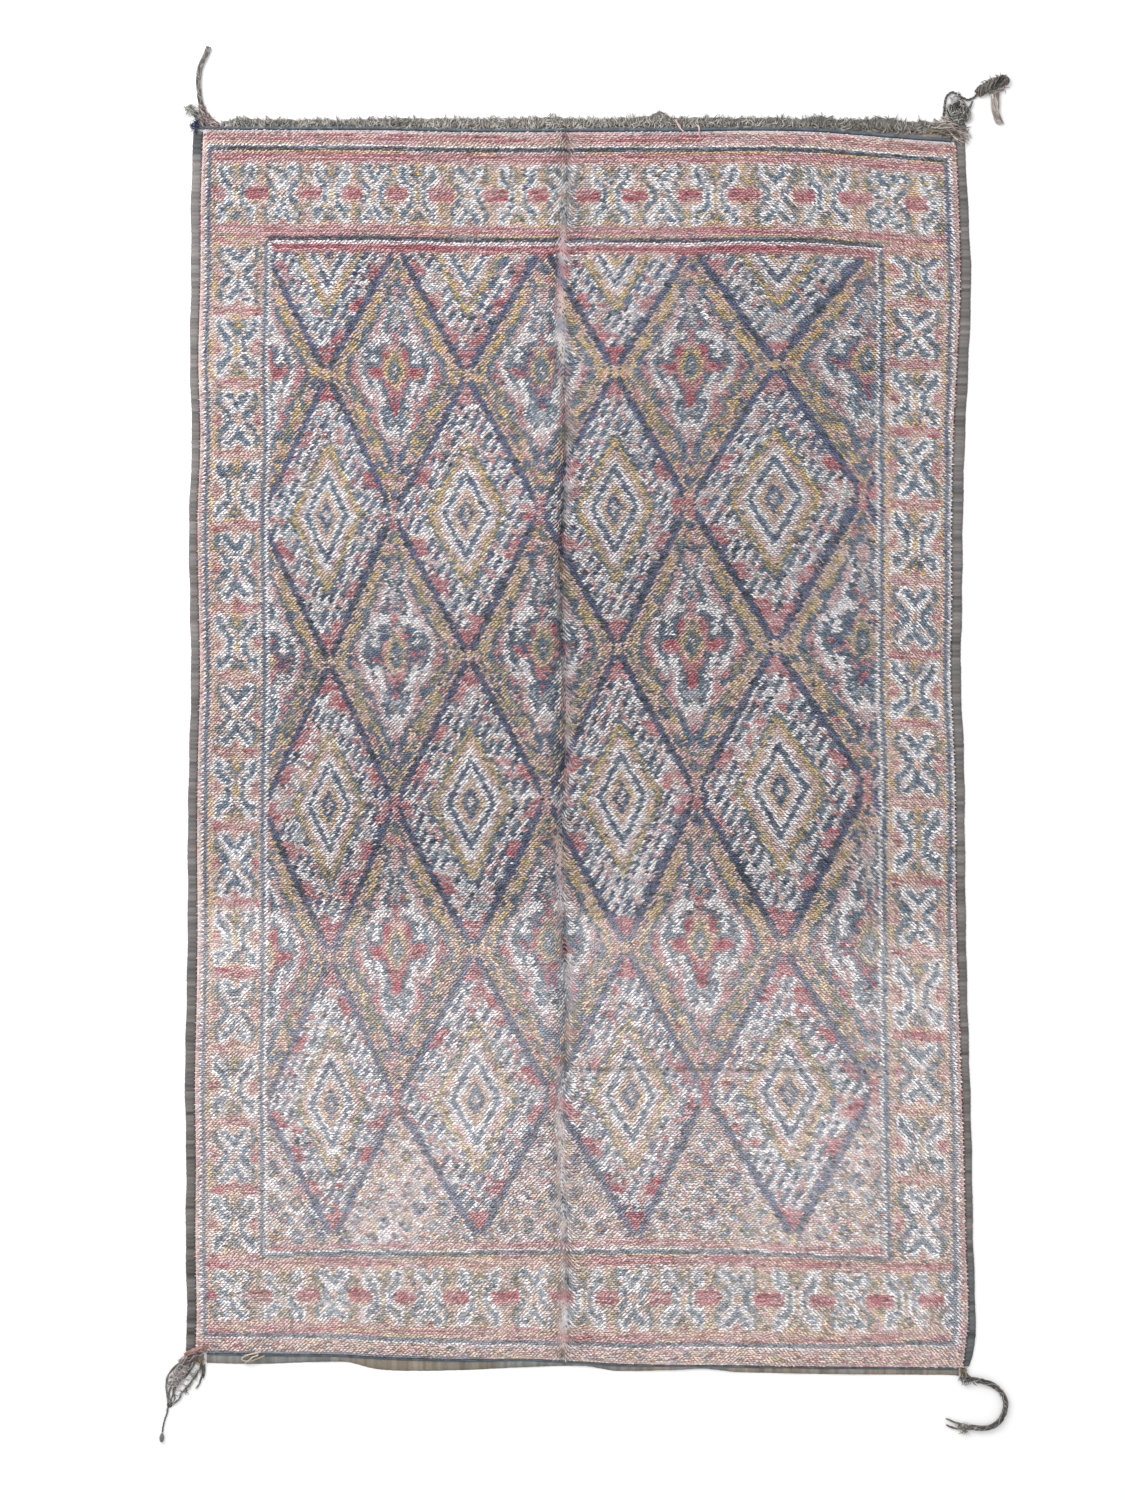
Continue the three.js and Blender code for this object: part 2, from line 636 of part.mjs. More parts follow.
const rug = new THREE.Group();
PIECES.forEach(({ name, colour, make }) => {
  const mesh = new THREE.Mesh(make(), wool(COLOURS[colour]));
  mesh.name = name;
  rug.add(mesh);
});

export default rug;
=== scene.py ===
"""Azilal rug: the looks of a hand-knotted wool rug that lies flat on a pale floor.

The rug's solids come packed in the frame. Every operator below makes one finished piece, or a group of like
pieces, over them: the ground weave, the knotted pile, the selvedges, the woven end bands, the brushed fringe,
the corner ends and the loose yarns. Lengths are metres, and tables say where they are in millimetres.
"""

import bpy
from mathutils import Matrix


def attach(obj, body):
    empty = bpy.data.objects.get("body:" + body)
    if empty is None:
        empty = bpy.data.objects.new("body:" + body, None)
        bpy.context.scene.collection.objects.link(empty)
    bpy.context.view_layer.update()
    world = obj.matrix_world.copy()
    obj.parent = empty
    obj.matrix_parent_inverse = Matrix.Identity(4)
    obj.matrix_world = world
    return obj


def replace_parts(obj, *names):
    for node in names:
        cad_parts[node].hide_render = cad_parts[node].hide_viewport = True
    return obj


bl_info = {
    "name": "Azilal Rug",
    "version": (1, 0, 0),
    "blender": (4, 5, 0),
    "location": "View3D > Sidebar > Rug",
    "description": "Builds a hand-knotted wool rug with a diamond lattice, from its solids",
    "category": "Object",
}

import bpy
import numpy as np

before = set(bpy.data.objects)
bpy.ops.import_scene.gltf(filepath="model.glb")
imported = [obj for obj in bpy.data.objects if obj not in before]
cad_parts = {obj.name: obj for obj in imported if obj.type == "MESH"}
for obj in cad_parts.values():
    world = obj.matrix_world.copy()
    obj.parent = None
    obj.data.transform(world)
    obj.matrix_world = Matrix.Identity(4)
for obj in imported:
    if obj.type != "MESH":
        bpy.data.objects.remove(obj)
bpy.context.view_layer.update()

MM = 0.001

# Size of the flat pile in mm, as the pattern is laid out on it
CLOTH_WIDTH = 1864.0
CLOTH_LENGTH = 3000.0

# Where the flat cloth's first and last rows lie in mm, before they are settled on the rug's real ends
CLOTH_TOP = 1519.0
CLOTH_BOTTOM = -1491.0
SETTLING_ROUNDS = 3

# Heights, widths and clearances in mm, and how high the pile is at its rim as a share of its full height
PILE_RIM_SHARE = 0.6
RIM_WIDTH = 14.0
SELVEDGE_HEIGHT = 6.0
BAND_HEIGHT = 4.5
EDGE_LINE_HEIGHT = 5.2
GAP = 0.8

# How finely the long pieces are divided along their length
SELVEDGE_STEPS = 900
BAND_STEPS = 640
EDGE_LINE_STEPS = 420
FRINGE_MAT_STEPS = 420


def table(columns, rows):
    """A table with named columns."""
    return np.array(rows, dtype=[(name, float) for name in columns.split()])


# The rug's outer edges down its length, in mm: each selvedge's outer edge and its width
SIDES = table("y left right left_width right_width", [
    (-1530, -948, 969, 25, 15), (-1465, -945, 986, 24, 23), (-1390, -942, 990, 24, 19),
    (-1194, -945, 984, 24, 19), (-998, -944, 981, 24, 21), (-802, -947, 976, 25, 22),
    (-606, -943, 970, 25, 23), (-410, -940, 966, 24, 24), (-214, -940, 964, 23, 24),
    (-18, -937, 962, 22, 25), (178, -932, 954, 22, 26), (374, -935, 957, 22, 27),
    (570, -937, 959, 21, 29), (766, -930, 964, 21, 30), (962, -935, 973, 21, 29),
    (1158, -932, 979, 23, 27), (1354, -932, 971, 24, 24), (1540, -926, 962, 24, 23),
])

# The rug's ends, in mm: the last row of the pile and the outer edge of the woven band
TOP_END = table("x pile band", [
    (-960, 1524, 1537), (-665, 1523, 1536), (-479, 1523, 1536), (-273, 1518, 1532), (-77, 1518, 1532),
    (114, 1519, 1534), (266, 1519, 1534), (425, 1522, 1537), (594, 1519, 1535), (726, 1509, 1527),
    (820, 1501, 1521), (891, 1496, 1521), (980, 1491, 1517),
])
BOTTOM_END = table("x pile band", [
    (-960, -1469, -1494), (-775, -1471, -1498), (-555, -1474, -1493), (-481, -1479, -1510),
    (-408, -1482, -1515), (-261, -1485, -1513), (-114, -1484, -1506), (33, -1491, -1503),
    (107, -1496, -1515), (254, -1499, -1513), (327, -1499, -1510), (401, -1500, -1518),
    (621, -1503, -1523), (915, -1505, -1525), (990, -1508, -1529),
])
SELVEDGE_ENDS = {"left": (1521, -1466), "right": (1506, -1503)}
TOP_BAND_SPAN = (-861, 923)
BOTTOM_BAND_SPAN = (-893, 948)
FRINGE_SPAN = (-858, 900)

# How far up the floor the tips of the top fringe reach, in mm
FRINGE_TIPS = table("x tip", [
    (-861, 1546), (-843, 1552), (-815, 1565), (-775, 1561), (-702, 1558), (-555, 1558), (-481, 1562),
    (-408, 1564), (-260, 1564), (-114, 1567), (-40, 1572), (33, 1563), (150, 1567), (190, 1572),
    (217, 1594), (242, 1570), (327, 1565), (474, 1566), (560, 1562), (609, 1574), (650, 1562),
    (700, 1562), (755, 1574), (790, 1572), (825, 1557), (857, 1566), (905, 1552),
])

# Folds, in mm: soft troughs across part of the width, and the long one down the middle
CROSS_FOLDS = table("y start end depth", [(-778, -60, 960, 3.5), (937, 0, 960, 1.8), (202, -930, 960, 1.5)])
FOLD_HALF_WIDTH = 16.0
FOLD_RIDGE = 0.45
FOLD_FADE = 120.0
LONG_FOLD_DEPTH = 5.0
LONG_FOLD_X = -21.0
LONG_FOLD_SWAY = 8.0
LONG_FOLD_WAVELENGTH = 680.0
LONG_FOLD_PHASE = 0.9

# How dark the folds are and how wide that is in mm: the long one's core and its soft edge, the ground in it,
# and each cross fold for every mm of its depth
LONG_FOLD_SHADOWS = ((0.50, 9.0), (0.22, 34.0))
GROUND_SHADOW = (0.60, 14.0)
CROSS_FOLD_SHADOW = (0.13, 7.0)

# How the pile leans, in degrees from straight across: at the left, at the right, and where in mm it turns
LEAN_LEFT = 18.0
LEAN_RIGHT = -22.0
LEAN_TURN_START = 150.0
LEAN_TURN_LENGTH = 600.0
# How far the lean drifts in patches of so many yarn ends, and strays from end to end
LEAN_DRIFT = 34.0
LEAN_PATCH = 26
LEAN_STRAY = 44.0
# Beside the long fold, within so many mm, most ends lie along it
FOLD_LEAN = 90.0
FOLD_LEAN_STRAY = 30.0
FOLD_LEAN_SHARE = 0.8
FOLD_LEAN_WIDTH = 22.0

# Yarn ends of the pile: how far in mm they stray, how far they keep inside the selvedges, and how high their
# root, belly and tip lie as shares of the pile's height, with how much the last two vary
END_STRAY_ACROSS = 2.4
END_STRAY_DOWN = 2.6
PILE_MARGINS = (22, 18)
ROOT_SHARE = 0.64
BELLY_SHARE = 0.76
BELLY_VARIES = 0.08
TIP_SHARE = 0.74
TIP_VARIES = 0.19
LOWEST_PILE = 0.4
# How much lighter or darker an end may be, how many ends are painted in shadow as if sunk, and how light
# those are
SHADE_VARIES = 0.42
SHADOWED_ENDS = 0.13
SHADOWED_END_LIGHT = 0.62

# Routes of the free cords on the floor in mm, from the corner outwards
TOP_LEFT_ROUTE = [
    (-905.5, 1579), (-908.2, 1594), (-911.6, 1615), (-913.4, 1642), (-911.7, 1667),
    (-906.5, 1683.5), (-900.5, 1697.5), (-893.5, 1711), (-888.4, 1727),
]
BOTTOM_RIGHT_ROUTE = [
    (986, -1536), (998, -1538), (1012, -1541), (1028, -1547), (1043, -1556.5), (1055, -1571),
    (1061, -1585), (1062.5, -1600), (1058, -1620), (1046.5, -1638), (1029, -1650), (1007, -1654),
    (990, -1653.5), (975, -1651.5),
]
TOP_RIGHT_ROUTE = [
    (911.5, 1555), (912, 1563), (914, 1587), (917.5, 1604), (925, 1613), (933, 1616.5), (944, 1612.5),
    (956.5, 1604), (968, 1598.5), (979, 1600), (988, 1606), (996, 1615),
]
BOTTOM_LEFT_ROUTE = [
    (-989, -1607), (-990, -1617), (-994.5, -1629), (-998, -1641), (-1000.5, -1653), (-1002, -1665),
]

# The free cords in mm. Three strands are plaited and two are twisted, and pitch is the length of a full turn.
# height is the middle's above the floor, and flare is how much the far end swells
CORDS = [
    dict(piece="plait_tl", node="plait_top_left", route=TOP_LEFT_ROUTE, strands=3, plies=6, diameter=14,
         height=7.2, pitch=42, steps=46, flare=0.22, light=1.22, salt=8, far_end="bare", stiffness="medium",
         with_pieces=[]),
    dict(piece="plait_br", node="plait_bottom_right", route=BOTTOM_RIGHT_ROUTE, strands=3, plies=6,
         diameter=15, height=7.5, pitch=42, steps=72, flare=0.0, light=0.74, salt=8, far_end="knot",
         stiffness="medium", with_pieces=["ends_bottom_right"]),
    dict(piece="cord_tr", node="cord_top_right", route=TOP_RIGHT_ROUTE, strands=2, plies=3, diameter=7.5,
         height=3.9, pitch=16, steps=80, flare=0.0, light=1.0, salt=7, far_end="knot", stiffness="limp",
         with_pieces=["tassel_top_right"]),
    dict(piece="cord_bl", node="cord_bottom_left", route=BOTTOM_LEFT_ROUTE, strands=2, plies=3, diameter=5,
         height=2.7, pitch=12, steps=50, flare=0.0, light=1.0, salt=7, far_end="knot", stiffness="limp",
         with_pieces=["knob_bottom_left"]),
]
STRAND_TONES = (0.72, 1.0, 1.34)

# Yarns of the cords, the corner ends and the loose ends, as display colours from 0 to 255
WOUND = [(104, 104, 98), (150, 148, 140), (190, 182, 176), (132, 112, 110)]
GREYS = [(108, 106, 102), (138, 136, 130), (172, 168, 162), (80, 80, 78)]
ROSY = [(156, 132, 134), (110, 100, 100), (200, 186, 182), (128, 114, 114)]
CURLS = [(208, 206, 200), (66, 70, 66), (168, 166, 160), (88, 92, 86)]
MOSSY = [(84, 90, 84), (126, 128, 118), (64, 68, 64), (182, 160, 156)]
OLIVES = [(150, 136, 108), (124, 114, 96), (168, 154, 126)]
NAVY = [(62, 70, 96), (86, 92, 112), (50, 56, 78)]
TASSEL = [(178, 168, 162), (136, 126, 122), (208, 200, 194)]
WEB = [(206, 202, 198), (160, 156, 152), (188, 172, 172)]
WHIPPING = [(196, 192, 184), (150, 146, 140), (110, 106, 102)]
BEIGE = [(214, 200, 184)]
PEACH = [(222, 196, 184)]
PINK = [(214, 178, 178)]
ORANGE = [(190, 146, 134), (176, 136, 132)]
FADED_OLIVE = [(140, 132, 112), (112, 108, 98), (166, 156, 138)]
WARP_ENDS = [(184, 168, 162), (208, 198, 192), (146, 140, 134), (104, 102, 98)]

# Other display colours: washed-out dye, the ground weave, the selvedges' grey-blue and the bands' brown
WASHED = (230, 226, 224)
GROUND = (150, 140, 144)
SELVEDGE_BLUE = (112, 116, 118)
BAND_BROWN = (164, 148, 128)
MATTED_KNOB = (150, 144, 136)

# Loose yarns on the rug in mm: route with heights, number of plies, how far they spread, radius, colours
LOOSE_YARNS = [
    ([(-760, -1466, 15), (-785, -1472, 15), (-803, -1479, 14), (-806, -1487, 13), (-790, -1490, 12),
      (-772, -1484, 13), (-752, -1476, 15)], 3, 1.5, 1.4, BEIGE),
    ([(-766, -1474, 17), (-778, -1478, 17), (-788, -1486, 15), (-800, -1496, 9)], 3, 1.4, 1.3, BEIGE),
    ([(-946, -1474, 11), (-930, -1466, 14), (-908, -1457, 16), (-888, -1452, 16)], 10, 4.0, 1.3, ORANGE),
    ([(-942, -1468, 12), (-922, -1460, 15), (-902, -1454, 16)], 7, 3.5, 1.2, PINK),
    ([(256, 1549, 8), (262, 1536, 9), (270, 1522, 15), (281, 1510, 17)], 3, 1.4, 1.5, PINK),
    ([(310, 1534, 9), (313, 1524, 14), (311, 1513, 17), (316, 1502, 17)], 3, 1.4, 1.5, PINK),
    ([(912, 1541, 9), (921, 1524, 14), (932, 1511, 17), (944, 1497, 18)], 4, 2.2, 1.6, PEACH),
    ([(926, 1538, 12), (936, 1526, 13), (948, 1516, 14), (956, 1500, 13)], 4, 2.0, 1.5, PEACH),
    ([(866, 1526, 8), (890, 1522, 10), (914, 1516, 13), (938, 1510, 15)], 9, 4.6, 1.2, FADED_OLIVE),
    ([(884, 1540, 10), (908, 1532, 12), (934, 1516, 15), (960, 1492, 16)], 16, 11.0, 1.1, WARP_ENDS),
    ([(902, 1548, 9), (926, 1536, 12), (952, 1522, 13), (974, 1500, 12)], 12, 10.0, 1.1, WARP_ENDS),
]
LOOSE_YARN_STEPS = 18

# Letters that the knot charts use, and the colour property that each one reads
YARN_LETTERS = {
    "W": "white", "w": "off_white", "P": "peach", "K": "pink", "R": "rose", "D": "red",
    "O": "ochre", "G": "olive", "T": "teal", "N": "indigo", "S": "slate", "B": "grey_blue", "E": "grey",
}
LETTERS = "".join(YARN_LETTERS)

# Knot charts of the border's two figures, 13 knots by 15 rows
WAISTED_FIGURE = """
WWWPPPOPPPWWW
WTWWTPGPTWWTW
WTBWTGOGTWBTW
WTTWPTGTPWTTW
WWTTWPTPWTTWW
PWWTTWPWTTWWP
PPWWTWGWTWWPP
PPPWTWOWTWPPP
PPPWTWOWTWPPP
PPWWTWPWTWWPP
WWWTTWPWTTWWW
WTTTWPTPWTTTW
WTBWPTGTPWBTW
WTWWGTOTGWWTW
WWWPOPRPOPWWW
""".split()
FORKED_FIGURE = """
PGWWWPPPWWWGP
PTWTTWPWTTWTP
GTWWTTWTTWWTG
GTPWWTTTWWPTG
PGTPWWTWWPTGP
PPTTWWWWWTTPP
PPWTTWPWTTWPP
PPPWTPPPTWPPP
PPWTTWPWTTWPP
PPTTWWTWWTTPP
PTTPWWTWWPTTP
GTPWWTTTWWPTG
GTWWTTWTTWWTG
PTWTTWPWTTWTP
PGWWWPRPWWWGP
""".split()

# Knot chart of the dark diamond's medallion: from its middle knot outwards, mirrored, row by row down
MEDALLION = """
KKTTPP
KKETPPP
KKBTKPO
KwTWTPOO
BwTWKTPPO
wTWKKTTPPO
wTTWKKTOOP
wwTWKKTTOOP
BwTTWKKTGOOP
BKRTWWKKTGGP
TBRTTWKKKTTTP
RKTTWWKKKTTTPP
RKWWWWWWKKTPOO
RTWWWWWWwKTTPOO
RKTTTKWWWwKTTOOO
KPPRTTTWWTwWKTOOO
GPRDDTWWTTWwKTTPP
GOPDDTTWWTTWwKTTOP
TGORRTWWWTTwWKKTTOP
TTOPRTTTTTTTWKRTTPO
wTGORRDDRRTEWKRKTPO
wTGORDDDDRTWWKRRTTPO
TTOPRRRRKTTWKRRRTTPO
TOPRTTWWTTWWKRKTTGP
OPRRTWWWTWWKKRTGGP
RRRTTWWTKWWKPGGTP
RRRTWWWKWWKTGGTPP
DRTTWWKKWKRTGGTP
DDTWWWKKKRRTTPP
DDTTTWKKTTTTPO
DKTBTWKRKTPOOO
BBTBTWKRRKTPO
EBBTWWKRKTGO
WETTWKRKTGG
WWTWWKKTGG
wWWwKTTGG
wKWKTTOG
wKKTTPOO
KwKTTPP
RKTTPP
RTNTPP
KTNOP
KTTP
KKT
""".split()
MEDALLION_MIDDLE_ROW = 21.3
MEDALLION_ROWS = 32.2

# The lattice on the flat cloth in mm: where each column of crossings stands at the top and the bottom, and
# how far down each row of crossings lies at the left, in the middle and at the right
LATTICE_COLUMNS = table("top bottom", [
    (-40, -20), (148, 170), (311, 332), (480, 489), (653, 686), (838, 872), (1015, 1066), (1203, 1246),
    (1415, 1447), (1640, 1654), (1850, 1860),
])
LATTICE_ROWS = table("left middle right", [
    (-32, -30, 1), (284, 280, 278), (600, 590, 555), (951, 925, 875), (1320, 1270, 1245), (1662, 1632, 1585),
    (2040, 1993, 1985), (2399, 2358, 2326), (2727, 2704, 2690), (3055, 3050, 3054),
])
LATTICE_SPAN = (280.0, 2700.0)
DYE_CHANGE = 1885.0
STRAY = 3.6
LATTICE_THIRDS = (160.0, 850.0, 1650.0)

# How many knots half a diamond has across and down, and where its outline starts, as a share of the way out
HALF_COLUMNS = 24
HALF_ROWS = 35
OUTLINE_START = 0.955
OUTLINE_HALF_WIDTH = 0.050

# The pale diamonds' slanting dashes, as shares of a half diamond: pitch, length and where they start
DASH_PITCH = 0.148
DASH_LENGTH = 0.30
DASHES_START = 0.57

# The pale diamonds' eye, from outside in: start and end as shares of the way out, letters and their weights
EYE_RINGS = [
    (0.535, 0.58, "TGW", [55, 15, 30]), (0.475, 0.535, "OG", [78, 22]), (0.455, 0.475, "GTP", [30, 30, 40]),
    (0.39, 0.455, "PKW", [50, 30, 20]), (0.33, 0.39, "W", [1]), (0.265, 0.33, "TN", [70, 30]),
    (0.20, 0.265, "W", [1]), (0.12, 0.20, "PO", [84, 16]), (0.055, 0.12, "TN", [60, 40]),
    (0.0, 0.055, "w", [1]),
]

# Dark diamonds that came out cooler: a letter, the one that takes its place, and in what share of its knots
COOLER_YARNS = (("R", "T", 0.35), ("D", "N", 0.7), ("O", "G", 0.4), ("K", "w", 0.2))

# Frame lines on the flat cloth in mm
LEFT_OUTER_LINE = 18.0
LEFT_INNER_LINE = 164.0
RIGHT_LINES = table("down inner outer", [
    (141, 1669, 1835), (300, 1669, 1838), (884, 1692, 1851), (1617, 1690, 1850), (2594, 1676, 1838),
    (2835, 1676, 1833),
])
BOTTOM_LINES = table("across inner outer", [
    (0, 2762, 2955), (180, 2757, 2955), (494, 2743, 2956), (838, 2736, 2959), (1076, 2721, 2953),
    (1269, 2721, 2950), (1559, 2732, 2949), (1864, 2728, 2936),
])
LEFT_BARS = (268, 443, 622, 796, 971, 1172, 1344, 1525, 1709, 1896, 2068, 2254, 2434, 2598, 2767)
RIGHT_BARS = (250, 400, 549, 713, 892, 1075, 1259, 1430, 1618, 1810, 1985, 2190, 2370, 2540, 2748)
TOP_FIGURES = (85, 200, 320, 425, 533, 658, 780, 890, 1010, 1135, 1265, 1415, 1540, 1690, 1820)
BOTTOM_FIGURES = (85, 210, 330, 450, 562, 683, 815, 935, 1055, 1175, 1305, 1450, 1580, 1715, 1840)

# Stripes beside the frame lines: start and end in mm from the line, letters and their weights
EDGE_STRIPES = [
    (0, 5, "wK", [70, 30]), (5, 10, "KP", [60, 40]), (10, 15, "RDK", [45, 25, 30]), (15, 20, "KP", [60, 40]),
    (20, 25, "RDK", [50, 20, 30]), (25, 30, "KP", [55, 45]),
]
TOP_STRIPES = [
    (30, 35, "PK", [60, 40]), (35, 40, "W", [1]), (40, 50, "ST", [80, 20]), (50, 55, "Ow", [55, 45]),
    (55, 60, "KR", [60, 40]), (60, 65, "RDK", [60, 20, 20]), (65, 70, "KP", [70, 30]),
    (70, 75, "RDK", [45, 15, 40]), (75, 80, "KP", [60, 40]), (230, 235, "PKO", [40, 40, 20]),
    (235, 240, "RKD", [50, 35, 15]), (240, 245, "KR", [65, 35]), (245, 250, "RDK", [50, 25, 25]),
    (250, 255, "KP", [70, 30]), (255, 260, "GOR", [50, 20, 30]),
]
FIELD_TOP_STRIPES = [
    (260, 270, "ST", [82, 18]), (270, 275, "W", [1]), (275, 280, "WK", [60, 40]), (280, 290, "RD", [40, 60]),
    (290, 295, "RK", [60, 40]), (295, 300, "RPD", [50, 35, 15]),
]
FIELD_BOTTOM_STRIPES = [
    (-24, -8, "RKP", [40, 38, 22]), (-8, -2, "Ww", [80, 20]), (-2, 8, "TS", [62, 38]),
    (8, 14, "OPGK", [25, 40, 15, 20]),
]
BOTTOM_STRIPES = [
    (-34, -22, "PKOR", [46, 28, 16, 10]), (-22, -5, "RKPO", [38, 32, 22, 8]), (-5, 5, "ST", [45, 55]),
    (5, 10, "Ww", [80, 20]),
]
LEFT_STRIPES = [(0, 8, "KRPw", [38, 14, 28, 20]), (8, 15, "Ww", [70, 30]), (15, 24, "TN", [70, 30])]
FIELD_LEFT_STRIPES = [(-16, -8, "wP", [60, 40]), (-8, 1, "TN", [70, 30]), (1, 10, "Ww", [84, 16])]
FIELD_RIGHT_STRIPES = [(-14, -5, "Ww", [75, 25]), (-5, 5, "TN", [75, 25])]
RIGHT_STRIPES = [(-5, 5, "TN", [75, 25]), (5, 14, "Ww", [70, 30]), (14, 60, "KRPw", [40, 14, 28, 18])]

# Wool finishes: how fine the mottling is and how strong the fibre's relief
WOOLS = {
    "cord": (420.0, 0.5), "pile": (260.0, 0.35), "ground": (300.0, 0.5), "selvedge": (330.0, 0.8),
    "band": (380.0, 0.9), "fringe": (500.0, 0.3),
}
WOOL_ROUGHNESS = 0.92
WOOL_SPECULAR = 0.2

# The stage in metres and degrees: the floor's reach, and the broad lamp's size, place and tilt
FLOOR_REACH = 8.0
LAMP_SIZE = (5.0, 3.0)
LAMP_PLACE = (-3.2, 3.4, 4.2)
LAMP_TILT = (-42, -34)


def chance(a, b, salt):
    """A number from 0 to 1 for each pair of whole numbers, the same on every run: the pair is hashed."""
    mask = np.int64(0xFFFFFFFF)
    mixed = np.asarray(a).astype(np.int64) * 374761393 + np.asarray(b).astype(np.int64) * 668265263
    mixed = (mixed + salt * 974634777) & mask
    mixed = ((mixed ^ (mixed >> 13)) * 1274126177) & mask
    mixed = ((mixed ^ (mixed >> 15)) * 2246822519) & mask
    return ((mixed ^ (mixed >> 16)) & 0xFFFFFF) / float(0xFFFFFF)


def smooth(share):
    """Eases 0 to 1: three times the square less twice the cube."""
    inside = np.clip(share, 0, 1)
    return inside * inside * (3 - 2 * inside)


def mix(start, end, share):
    """The value that lies that share of the way from start to end."""
    return start + (end - start) * share


def patches(x, y, size, salt):
    """Soft patches from 0 to 1 over a plane: chances at the corners of squares of a size, smoothly blended
    between them."""
    across, down = np.asarray(x) / size, np.asarray(y) / size
    left, top = np.floor(across), np.floor(down)
    share_x, share_y = smooth(across - left), smooth(down - top)
    upper = mix(chance(left, top, salt), chance(left + 1, top, salt), share_x)
    lower = mix(chance(left, top + 1, salt), chance(left + 1, top + 1, salt), share_x)
    return mix(upper, lower, share_y)


def follow(rows, key, column, at):
    """Reads a table's column on a smooth cubic through its rows: the slope at each is half the difference
    between its neighbours."""
    keys, values = rows[key], rows[column]
    row = np.clip(np.searchsorted(keys, at) - 1, 0, len(keys) - 2)
    before, start = values[np.maximum(row - 1, 0)], values[row]
    end, after = values[row + 1], values[np.minimum(row + 2, len(keys) - 1)]
    share = (at - keys[row]) / (keys[row + 1] - keys[row])
    square, cube = share**2, share**3
    return (
        (2 * cube - 3 * square + 1) * start + (cube - 2 * square + share) * (end - before) / 2
        + (3 * square - 2 * cube) * end + (cube - square) * (after - start) / 2
    )


def left_inner(y):
    """Where the pile meets the left selvedge, in mm."""
    return follow(SIDES, "y", "left", y) + follow(SIDES, "y", "left_width", y)


def right_inner(y):
    """Where the pile meets the right selvedge, in mm."""
    return follow(SIDES, "y", "right", y) - follow(SIDES, "y", "right_width", y)


def long_fold(y):
    """Where the long fold lies across, in mm: it sways as a slow sine."""
    return LONG_FOLD_X + LONG_FOLD_SWAY * np.sin(2 * np.pi * y / LONG_FOLD_WAVELENGTH + LONG_FOLD_PHASE)


def bell(distance, width):
    """1 in the middle, falling away on both sides: e to minus the square of the distance in widths."""
    return np.exp(-((distance / width) ** 2))


def trough(distance, depth):
    """Depth of a fold at a distance from its line: a bell-shaped trough with a lower ridge on either side."""
    near = distance / FOLD_HALF_WIDTH
    return depth * bell(near, 1) - depth * FOLD_RIDGE * bell(np.abs(near) - 2, 1)


def fold_reach(line, x):
    """How far a cross fold is there at a place, from 0 to 1: it fades in and out at its ends."""
    return smooth((x - line["start"]) / FOLD_FADE) * smooth((line["end"] - x) / FOLD_FADE)


def place_on_rug(across, down):
    """Where a point of the flat cloth lies, in mm: its shares across and down are measured between the rug's
    real edges, and the two are settled against each other in rounds."""
    y = mix(CLOTH_TOP, CLOTH_BOTTOM, down / CLOTH_LENGTH)
    for _ in range(SETTLING_ROUNDS):
        start, end = left_inner(y) + GAP, right_inner(y) - GAP
        x = mix(start, end, across / CLOTH_WIDTH)
        upper, lower = follow(TOP_END, "x", "pile", x), follow(BOTTOM_END, "x", "pile", x)
        y = mix(upper, lower, down / CLOTH_LENGTH)
    rim = np.minimum.reduce([x - start, end - x, upper - y, y - lower])
    return x, y, rim


def folds(x, y, rim):
    """How far the folds lower the rug at a place, in mm."""
    depth = trough(x - long_fold(y), LONG_FOLD_DEPTH) * smooth(rim / (3 * RIM_WIDTH))
    for line in CROSS_FOLDS:
        depth = depth + trough(y - line["y"], line["depth"]) * fold_reach(line, x)
    return depth


def lumps(x, y):
    """The rug's own low unevenness in mm: two products of slow sines."""
    return 0.8 * np.sin(x / 170 + 1) * np.sin(y / 230) + 0.5 * np.sin(x / 75 - y / 110)


def linear(colour):
    """A display colour as linear light."""
    shown = np.asarray(colour, float)
    return np.where(shown <= 0.04045, shown / 12.92, ((shown + 0.055) / 1.055) ** 2.4)


def display(red, green, blue):
    """A display colour from 0 to 1, from one in the 0 to 255 that screens use."""
    return (red / 255, green / 255, blue / 255)


# Properties

def length_property(name, description, metres):
    """A length that a user can change."""
    return bpy.props.FloatProperty(name=name, description=description, default=metres, unit="LENGTH")


def yarn_property(name, description, colour):
    """A colour that a user can change."""
    return bpy.props.FloatVectorProperty(
        name=name, description=description, subtype="COLOR_GAMMA", size=3, min=0, max=1,
        default=display(*colour)
    )


class RugSizes(bpy.types.PropertyGroup):
    """Sizes of the pile, the ground weave and the fringe."""

    pile_height: length_property("Pile height", "Height of the pressed pile above the floor", 0.015)
    ground_height: length_property("Ground height", "Thickness of the ground weave under the pile", 0.0090)
    knot_width: length_property("Knot width", "Width of one knot", 0.0091)
    row_height: length_property("Row height", "Distance from one row of knots to the next", 0.010)
    yarn_length: length_property("Yarn length", "Length of a pressed yarn end, seen from above", 0.0150)
    yarn_width: length_property("Yarn width", "Width of a yarn end at its belly", 0.0058)
    strips: bpy.props.IntProperty(
        name="Pile strips", description="How many pieces the pile is made in", default=5, min=4, max=12)
    fringe_wisps: bpy.props.IntProperty(
        name="Fringe wisps", description="Number of brushed yarn ends in the top fringe", default=2000,
        min=100)


